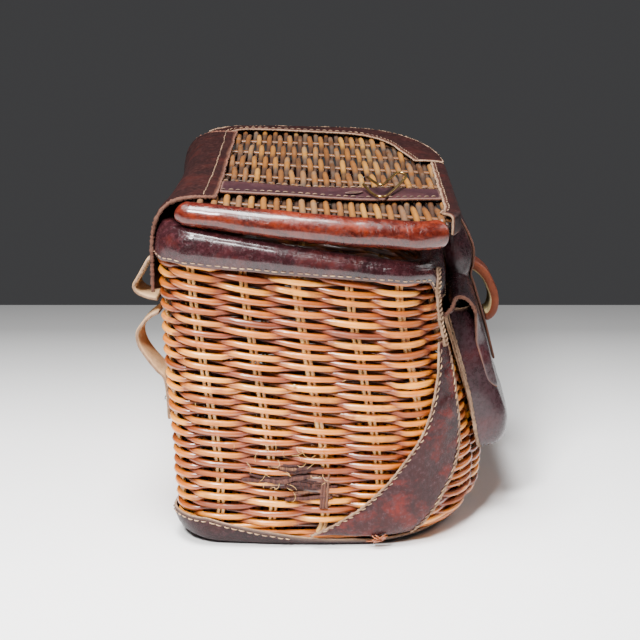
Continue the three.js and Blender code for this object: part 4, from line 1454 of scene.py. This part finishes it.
def weaveLid():
    heap = MeshHeap()
    edge = lidOutline(lidWeave["inset"])
    for k, y in enumerate(np.arange(-92, 90, lidWeave["pitch"])):
        near = edge[np.abs(edge[:, 1] - y) < 2.5]
        if len(near) < 2:
            continue
        low, high = near[:, 0].min(), near[:, 0].max()
        if high - low < 15:
            continue
        x = np.arange(low, high, lidWeave["stakePitch"] / 10)
        phase = math.pi * ((x - lidWeave["firstStake"]) / lidWeave["stakePitch"] + k)
        wave = np.cos(phase)
        bulge = np.sign(wave) * np.abs(wave) ** 0.75
        wander = plainNoise(x, 0.02, k * 1.7) * 1.2
        z = lidWeave["level"] + lidWeave["swing"] * bulge
        path = np.stack([x, y + wander + 0.5 * np.sin(phase), z], -1)
        radius = lidWeave["rod"] * mix(0.75, 1.04, np.clip(wave * 0.5 + 0.5, 0, 1) ** 0.6)
        radius = radius * dice.uniform(0.92, 1.05)
        grid = tube(lidWorld(path), upright(len(x)), radius, 8)
        cell = np.floor((phase / math.pi + 0.5) / 2).astype(int)
        tones = np.clip(dice.normal(0.42, 0.2) + dice.normal(0, 0.13, 40), 0, 1)
        grain = rodGrain(grid, x, 2.0, 500 + k * 6.3)
        tone, tip = tones[cell % 40][:, None], (1 - np.clip(wave, 0, 1) ** 0.7)[:, None]
        # painted shade where the lid rods dive and on their under side
        grime = rodPaintedShade(wave, 8, 0.7, 0.35, 0.7, 1)
        heap.addRod(grid, tone=tone, tip=tip, stain=dice.uniform(0, 1), grime=grime, grain=grain)
    return heap.build("lid_weave", lidWicker)


def lidStakes():
    heap = MeshHeap()
    edge = lidOutline(lidWeave["inset"])
    for place in np.arange(-2.0, 8) * lidWeave["stakePitch"] + lidWeave["firstStake"]:
        near = edge[np.abs(edge[:, 0] - place) < 3]
        if len(near) < 2:
            continue
        y = np.arange(near[:, 1].min(), near[:, 1].max(), 4.0)
        x, z = place + plainNoise(y, 0.03, place), np.full_like(y, lidWeave["level"])
        grid = tube(lidWorld(np.stack([x, y, z], -1)), upright(len(y)), 2.6, 8, flatten=0.55)
        # tip 0.6 tints the lid stakes partly with the end stain and painted shade colour
        heap.addRod(grid, tone=0.2, tip=0.6, stain=0.5, grain=rodGrain(grid, y, 0, place))
    return heap.build("lid_stakes", lidWicker)


lidWicking, lidPale = weaveLid(), lidStakes()
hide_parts("lid_panel")


# A folded binding's face, from its inner top edge over the lid's edge and down
def bindingGrid(stations, width):
    skin, gap, drop = leather["skin"], leather["gap"], lid["bindingDrop"]
    width = np.broadcast_to(np.asarray(width, float), stations.shape)
    top = gap + skin
    rows = [lidPoints(stations, width, top - 0.4), lidPoints(stations, width * 0.97, top)]
    for share in (0.85, 0.7, 0.5, 0.3):
        inset = np.maximum(width * share, 3.2)
        rows.append(lidPoints(stations, inset, top + 0.5 * math.sin(share * 3)))
    for turn in (15, 35, 55, 75, 90):
        a = math.radians(turn)
        rows.append(lidPoints(stations, 3.0 * (1 - math.sin(a)), top - 3.0 * (1 - math.cos(a))))
    for share in (0.45, 0.7, 0.88, 1.0):
        rows.append(lidPoints(stations, 0.0 if share < 1 else 0.4, -drop * share))
    return np.stack([lidWorld(row) for row in rows])


def lidBindings():
    made = []
    farStations = np.linspace(3.02, 5.84, 100)
    width = np.full(100, float(lid["farBinding"]))
    width *= mix(0.8, 1.0, np.clip((farStations - 3.02) / 0.25, 0, 1))
    width += plainNoise(farStations, 4, 2) * 1.2
    width = mix(width, lid["farBinding"] * 0.62, np.clip((farStations - 3.9) / 1.0, 0, 1))
    grid = bindingGrid(farStations, width)
    grid[:, :, 2] -= 0.9 * np.clip((farStations - 5.35) / 0.2, 0, 1)[None]
    inside, thick = lidWorld((0, 0, -40)), lid["bindingThick"]
    piece = leatherSheet("lid_far_leather", grid, grid - inside, lidSkin, rawEdge, thick, 0.35)
    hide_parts("lid_far_binding")
    made.append(piece)
    heap = MeshHeap()
    top = leather["gap"] + leather["skin"]
    seamPath = lidWorld(lidPoints(farStations, width - 2.6, top))
    stitchRow(heap, seamPath, upright(100), 5.6, 3.8, 0.42)
    cords = MeshHeap()
    ridge = lidWorld(lidPoints(farStations, 1.4, top - 0.9))
    rawCord(cords, ridge, upright(100), 0.6)
    rawCord(cords, lidWorld(lidPoints(farStations, width, top - 0.8)), upright(100), 0.6)
    frontStations = np.linspace(1.62, 2.985, 64)
    frontWidth = lid["frontBinding"] + plainNoise(frontStations, 9, 6) * 0.8
    grid = bindingGrid(frontStations, frontWidth)
    piece = leatherSheet("lid_front_leather", grid, grid - inside, lidSkin, rawEdge, thick, 0.3)
    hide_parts("lid_front_binding")
    made.append(piece)
    path = lidWorld(lidPoints(frontStations, frontWidth - 2.5, top))
    stitchRow(heap, path, upright(64), 6.0, 4.0, 0.48)
    made.append(heap.build("lid_stitches", dullThread))
    rawCord(cords, lidWorld(lidPoints(frontStations, frontWidth, top - 0.5)), upright(64), 0.85, 0.5)
    made.append(cords.build("lid_raw_edges", rawEdge))
    return made


lidLeathers = lidBindings()

# Padded roll along the lid's near end
roll = {"start": -0.45, "end": 1.5, "back": 14.5, "front": 20, "inset": 5, "wrinkle": 0.45, "tip": 0.045}


def endRoll():
    stations = np.linspace(roll["start"], roll["end"], 74)
    share = np.linspace(0, 1, 74)
    whole = mix(roll["back"], roll["front"], np.clip(share * 2, 0, 1))
    whole = whole + plainNoise(share, 9, 1) * 0.5
    fromTip = np.clip(1 - np.minimum(share, 1 - share) / roll["tip"], 0, 1)
    tip = np.sqrt(np.clip(1 - fromTip**2, 0.02, 1))
    centre = lidWorld(lidPoints(stations, roll["inset"], leather["gap"] - whole / 2))
    outward = unit(centre - lidWorld(lidPoints(stations, 30, leather["gap"] - whole / 2)))
    grid = tube(centre, outward, whole / 2 * tip, 26)
    heap = MeshHeap()
    heap.addRod(grid, edge=8.0)
    piece = heap.build("near_end_roll", rollSkin)
    bakeSmooth(piece)
    wrinkled(piece, roll["wrinkle"], 45)
    heap = MeshHeap()
    low = mix(grid[:, 15], grid[:, 16], 0.5)
    stitchRow(heap, low[2:-2], unit(low - centre)[2:-2], 6.5, 4.2, 0.45)
    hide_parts("lid_end_roll")
    return piece, heap.build("roll_stitches", thread)


rollLeather, rollStitches = endRoll()


def crossStrapLine(share, lift=0.0):
    y = np.linspace(strap["back"], strap["front"], 54)
    t = 1 - (y - strap["front"]) / (strap["back"] - strap["front"])
    x = strap["place"] + strap["sweep"] * t**2 + share * strap["width"] / 2
    z = leather["gap"] * 2 + leather["skin"] + lift - 0.4 * (abs(share) > 0.99)
    z = z + 0.5 * np.sin(t * 9 + share)
    return lidWorld(np.stack([x, y, z], -1))


closure = {"width": 38, "place": -15, "bulge": 9, "foldReach": 16, "foldBulge": 10, "foldTop": 225}


# A line of the closure strap, from the lid's front edge down its bulge and over the flap
def hangingLines(share):
    x = closure["place"] + share * closure["width"] / 2
    gap, skin = leather["gap"], leather["skin"]
    edge = lidWorld(np.array([x, -lid["front"] + skin, -lid["bindingDrop"] - gap]))
    foot = flapGrid(np.array([x]), np.linspace(4, 8, 13), gap * 2 + skin)[:, 0]
    rows = []
    for t, out in ((0, 0), (0.15, 0.45), (0.3, 0.78), (0.5, 1.0), (0.65, 1.0), (0.85, 0.55)):
        y = mix(edge[1], foot[0, 1], t) - out * closure["bulge"]
        rows.append([x, y, mix(edge[2], foot[0, 2], t)])
    return smoothRoute(np.concatenate([np.array(rows), foot]), 46)


def strapPieces():
    made = []
    heap = MeshHeap()
    grid = np.stack([crossStrapLine(share) for share in np.linspace(-1, 1, 13)])
    piece = leatherSheet("lid_strap", grid, (0, 0, 1), strapSkin, rustEdge, strap["thick"], 0.25)
    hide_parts("lid_cross_strap")
    made.append(piece)
    for share in (-0.84, 0.84):
        path = crossStrapLine(share, 0.1)
        stitchRow(heap, path, upright(54), 5.4, 3.6, 0.4)
    grid = np.stack([hangingLines(share) for share in np.linspace(-1, 1, 13)])
    outside = (0, -1, 0.2)
    piece = leatherSheet("front_closure_strap", grid, outside, strapSkin, rustEdge, strap["thick"], 0.25)
    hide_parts("closure_strap")
    made.append(piece)
    made.append(heap.build("strap_stitches", dullThread))
    edge = hangingLines(-1)[:34]
    inner = edge.copy()
    inner[:, 0] -= closure["foldReach"]
    inner[:, 1] = wallReach(inner[:, 0], np.minimum(inner[:, 2], closure["foldTop"]), 5.5, -1)
    lines = []
    for t in np.linspace(0, 1, 9):
        aside = closure["foldBulge"] * math.sin(t * math.pi)
        lines.append(mix(edge + [0, 2, 0], inner, t) - [aside, 0, 0])
    fold = np.stack(lines)
    made.append(leatherSheet("strap_fold", fold, (-1, -0.3, 0), pouchSkin, rustEdge, 1.8, 0.5))
    return made


strapLeathers = strapPieces()

# Slot cut through the cross strap, and the bent wire that hooks in it
slot = {"length": 15, "width": 5, "turn": -56.5, "share": 0.6}


def strapSlot():
    t = slot["share"]
    x = strap["place"] + strap["sweep"] * t**2 - 0.12 * strap["width"]
    y = mix(strap["back"], strap["front"], t)
    c, s = math.cos(math.radians(slot["turn"])), math.sin(math.radians(slot["turn"]))
    turn = np.linspace(0, 2 * math.pi, 28, endpoint=False)
    u = np.cos(turn) * slot["length"] / 2
    v = np.sign(np.sin(turn)) * slot["width"] / 2 * (1 - np.abs(np.cos(turn)) ** 1.7)
    z = leather["gap"] * 2 + leather["skin"] + 0.35
    ring = np.stack([x + u * c - v * s, y + u * s + v * c, z + 0 * u], -1)
    centre = np.array([x, y, z + 0.15])
    heap = MeshHeap()
    # a near-black disc in the slot is painted shade for the hole's dark inside
    rings = [mix(centre[None], ring, share) for share in (0.01, 0.5, 0.85)]
    heap.addGrid(np.stack([lidWorld(r) for r in rings]), edge=20.0)
    hole = heap.build("slot_lining", slotPaintedShade)
    heap = MeshHeap()
    lip = lidWorld(ring + [0, 0, 0.2])
    heap.addGrid(tube(lip, upright(28), 0.55, 8, True), True, True, edge=1.0)
    return hole, heap.build("slot_lip", strapSkin)


slotShade, slotLip = strapSlot()
clip = {"span": 52, "place": 31, "thick": 1.9}
# shares of the span: along the creel, forward across the lid, and up
clipBends = np.array([
    (0.31, 0.0, 0.058),
    (0.0, 0.115, 0.012),
    (-0.135, 0.23, 0.006),
    (0.04, 0.346, 0.012),
    (0.54, 0.54, 0.077),
    (0.81, 0.615, 0.115),
    (0.865, 0.5, 0.135),
    (0.46, 0.365, 0.125),
    (0.135, 0.23, 0.106),
    (0.58, 0.058, 0.106),
])


def wireClip():
    route = clipBends * clip["span"]
    x = strap["place"] + route[:, 0]
    y = -(clip["place"] + route[:, 1])
    z = leather["gap"] * 3 + leather["skin"] + 0.95 + route[:, 2]
    path = smoothRoute(lidWorld(np.stack([x, y, z], -1)), 90)
    heap = MeshHeap()
    heap.addRod(tube(path, upright(90), clip["thick"] / 2, 9))
    piece = heap.build("wire_hook", brass)
    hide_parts("wire_clip")
    return piece


wireHook = wireClip()

# Hinge leather: from the lid's back over the edge and down the back wall
hinge = {"length": 262, "place": -8, "inner": 71, "foot": 181, "thick": 2.2, "hang": 6}
# shares of the way from the lid to the wall, and of the height up to the lid
hingeTable = np.array([
    (0.0, 1.0),
    (0.3, 1.005),
    (0.55, 0.985),
    (0.72, 0.94),
    (0.84, 0.865),
    (0.93, 0.76),
    (0.985, 0.62),
    (1.0, 0.45),
    (1.0, 0.2),
    (1.0, 0.0),
])


def hingeLeather():
    xs = hinge["place"] + np.linspace(-hinge["length"] / 2, hinge["length"] / 2, 88)
    crown = lidWorld(np.stack([xs, np.full(88, float(hinge["inner"])), np.zeros(88)], -1))[:, 2]
    crown = crown + leather["gap"] * 2 + leather["skin"]
    outside = wallReach(xs, np.full(88, float(hinge["foot"])), 5.25 + leather["skin"] * 0.5, 1)
    place = np.linspace(0, 9, 30)
    out, height = (softened(np.interp(place, np.arange(10), hingeTable[:, k]), (1, 2, 1)) for k in (0, 1))
    inner = hinge["inner"] + 0.8 * plainNoise(xs, 0.05, 8)
    y = mix(inner[None], outside[None], out[:, None])
    z = mix(hinge["foot"], crown[None], height[:, None])
    lower = hinge["hang"] * plainNoise(xs, 0.02, 1)[None] * np.clip(1 - height[:, None] * 4, 0, 1)
    grid = np.stack([np.broadcast_to(xs[None], y.shape), y, z + lower], -1)
    inside = np.array([0, 20.0, 150.0])
    piece = leatherSheet("hinge_back", grid, grid - inside, lidSkin, rustEdge, hinge["thick"], 0.5)
    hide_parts("hinge_leather")
    heap, cords = MeshHeap(), MeshHeap()
    normals = outerNormals(grid, grid - inside)
    stitchRow(heap, grid[2, 1:-1], normals[2, 1:-1], 6.0, 4.2, 0.45)
    rawCord(cords, grid[0] - [0, 0, 0.6], normals[0], 0.7, 0.4)
    rawCord(cords, grid[:, 0] - normals[:, 0] * 1.1, normals[:, 0], 1.45, 0.2)
    rawCord(cords, grid[:, -1] - normals[:, -1] * 1.1, normals[:, -1], 1.2, 0.2)
    edges = cords.build("hinge_edges", rustEdge)
    return piece, heap.build("hinge_stitches", dullThread), edges


hingeBack, hingeStitches, hingeEdges = hingeLeather()

# Front loop for a rod or net, lined with suede
loop = {"place": 24, "width": 26, "middle": 144, "rise": 25.5, "reach": 17, "thick": 7.5, "seat": 3.8}


def frontLoop():
    turn = np.linspace(-90, 90, 34) * math.pi / 180
    rows = []
    for x in loop["place"] + np.linspace(-0.5, 0.5, 9) * loop["width"]:
        z = loop["middle"] + np.sin(turn) * loop["rise"]
        share = np.clip((z - pouch["flapEnd"]) / (pouch["crown"] - pouch["flapEnd"]), 0, 1)
        reach = np.interp(share, flapTable[:3:-1, 1], flapTable[:3:-1, 0]) * pouch["depth"]
        out = leather["seat"] + reach + loop["seat"] + np.cos(turn) * loop["reach"]
        rows.append(np.stack([np.full(34, x), wallReach(x, z, out, -1), z], -1))
    grid, thick = np.stack(rows), loop["thick"]
    piece = leatherSheet("front_rod_loop", grid, (0, -1, 0), loopSkin, loopSkin, thick, 0.3, lining=suede)
    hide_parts("front_loop")
    return piece


rodLoop = frontLoop()

# Two undyed straps riveted on the back, their loops seen past the near end
backStrap = {"width": 26, "thick": 2.6, "place": strapPlace, "reach": 23}
# shares of the reach outwards and of the rim's height
upperRoute = [
    (0.41, 0.876),
    (0.52, 0.863),
    (0.83, 0.816),
    (1.0, 0.786),
    (0.87, 0.761),
    (0.52, 0.746),
    (0.174, 0.739),
]
lowerRoute = [
    (0.174, 0.709),
    (0.435, 0.701),
    (0.783, 0.671),
    (1.0, 0.637),
    (0.957, 0.594),
    (0.696, 0.551),
    (0.391, 0.513),
    (0.174, 0.483),
    (0.174, 0.359),
]


def tanStrap(name, route, node):
    lines = []
    outs, heights = (np.array(route) * [backStrap["reach"], basket["rimBack"]]).T
    for share in np.linspace(-1, 1, 9):
        x = np.full(len(route), backStrap["place"] + share * backStrap["width"] / 2)
        y = wallReach(x, heights, outs, 1)
        lines.append(smoothRoute(np.stack([x, y, heights], -1), 44))
    grid = np.stack(lines)
    piece = leatherSheet(name, grid, (0, 1, 0), tanSkin, rawEdge, backStrap["thick"], 0.3)
    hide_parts(node)
    return piece


upperStrap = tanStrap("upper_tan_strap", upperRoute, "back_strap_upper")
lowerStrap = tanStrap("lower_tan_strap", lowerRoute, "back_strap_lower")


# The rivet that holds the lower strap, shaped to fill its place on the frame
def strapRivet():
    low, high = (np.array(corner) * 1000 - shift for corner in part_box("back_strap_rivet"))
    centre = (low + high) / 2
    radius = (high[0] - low[0]) / 2
    turn = np.linspace(0, 2 * math.pi, 24, endpoint=False)
    rings = []
    for share, depth in ((1.0, 0.0), (1.0, 0.35), (0.9, 0.6), (0.6, 0.85), (0.15, 1.0)):
        x = centre[0] + np.cos(turn) * radius * share
        z = centre[2] + np.sin(turn) * radius * share
        rings.append(np.stack([x, mix(low[1], high[1], depth) + 0 * turn, z], -1))
    heap = MeshHeap()
    heap.addRod(np.stack(rings))
    piece = heap.build("strap_rivet", rivetSteel)
    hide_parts("back_strap_rivet")
    return piece


tailRivet = strapRivet()

riding = {
    "rim_leather": (rimLeather, rimStitches, cornerSeams, cornerLacing),
    "base_leather": (baseLeather, baseStitches),
    "corner_leather": (*nearCorner, *farCorner),
    "pouch_leather": (pouchFront, pouchWelts, pouchFlap, flapEdges),
    "lid_willow": (lidWicking, lidPale),
    "lid_leather": (*lidLeathers, hingeBack, hingeStitches, hingeEdges),
    "roll_leather": (rollLeather, rollStitches),
    "strap_leather": (*strapLeathers, slotShade, slotLip),
    "brass_wire": (wireHook,),
    "loop_leather": (rodLoop,),
    "tan_leather": (upperStrap, lowerStrap),
    "rivet_metal": (tailRivet,),
}
for slotName, pieces in riding.items():
    for piece in pieces:
        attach(piece, "root")
print("lid, pouch and straps made")

# Stage: a pale table with painted light falloff that ends behind the creel, a dark grey room, soft light
# from above
studio = {
    "room": (0.055, 0.055, 0.0572, 1),
    # painted light falloff: the table's colour share at each distance, near to far
    "paintedTableFalloff": ((-0.62, 0.99), (-0.2, 0.98), (0.05, 0.76), (0.25, 0.38), (0.38, 0.17), (0.473, 0.12)),
    "lamps": (
        ("overhead", (-0.38, 0.16, 1.3), (-0.05, 0, 0.1), 0.5, 52),
        ("nearSide", (-1.05, 0.4, 1.2), (-0.1, 0, 0.1), 0.26, 48),
        ("farSide", (0.5, -1.2, 1.0), (0, 0, 0.1), 0.8, 6),
    ),
    "eye": (-1.1458, 0.00516, 0.462),
    "eyeTurn": (73.5, 0, -90),
    "lens": 84.375,
}


# Painted light falloff: the table's colour darkens towards its far edge
def setStage():
    mesh = bpy.data.meshes.new("table")
    columns = studio["paintedTableFalloff"]
    corners = [(x, y, 0) for x, shade in columns for y in (-3, 3)]
    faces = [(k, k + 2, k + 3, k + 1) for k in range(0, 2 * len(columns) - 2, 2)]
    mesh.from_pydata(corners, [], faces)
    shades = mesh.attributes.new("shade", "FLOAT", "POINT")
    shades.data.foreach_set("value", [shade for x, shade in columns for y in (-3, 3)])
    table = bpy.data.objects.new("table", mesh)
    bpy.context.scene.collection.objects.link(table)
    material, start, surface = newMaterial("paleTable", Roughness=0.7)
    white = start.value("shade").ramp((0.0, (0, 0, 0, 1)), (1.0, (1, 0.995, 0.99, 1)))
    wire(white, surface, "Base Color")
    mesh.materials.append(material)
    world = bpy.data.worlds.new("room")
    world.use_nodes = True
    background = world.node_tree.nodes["Background"]
    background.inputs["Color"].default_value = studio["room"]
    bpy.context.scene.world = world
    for name, place, aim, size, power in studio["lamps"]:
        lamp = bpy.data.lights.new(name, "AREA")
        lamp.size, lamp.energy = size, power
        holder = bpy.data.objects.new(name, lamp)
        holder.location = place
        holder.rotation_euler = (Vector(aim) - Vector(place)).to_track_quat("-Z", "Y").to_euler()
        bpy.context.scene.collection.objects.link(holder)


def setCamera():
    eye = bpy.data.cameras.new("eye")
    eye.lens, eye.sensor_width = studio["lens"], 36
    holder = bpy.data.objects.new("eye", eye)
    holder.location = studio["eye"]
    holder.rotation_euler = [math.radians(turn) for turn in studio["eyeTurn"]]
    bpy.context.scene.collection.objects.link(holder)
    bpy.context.scene.camera = holder


setStage()
setCamera()
print("stage set")
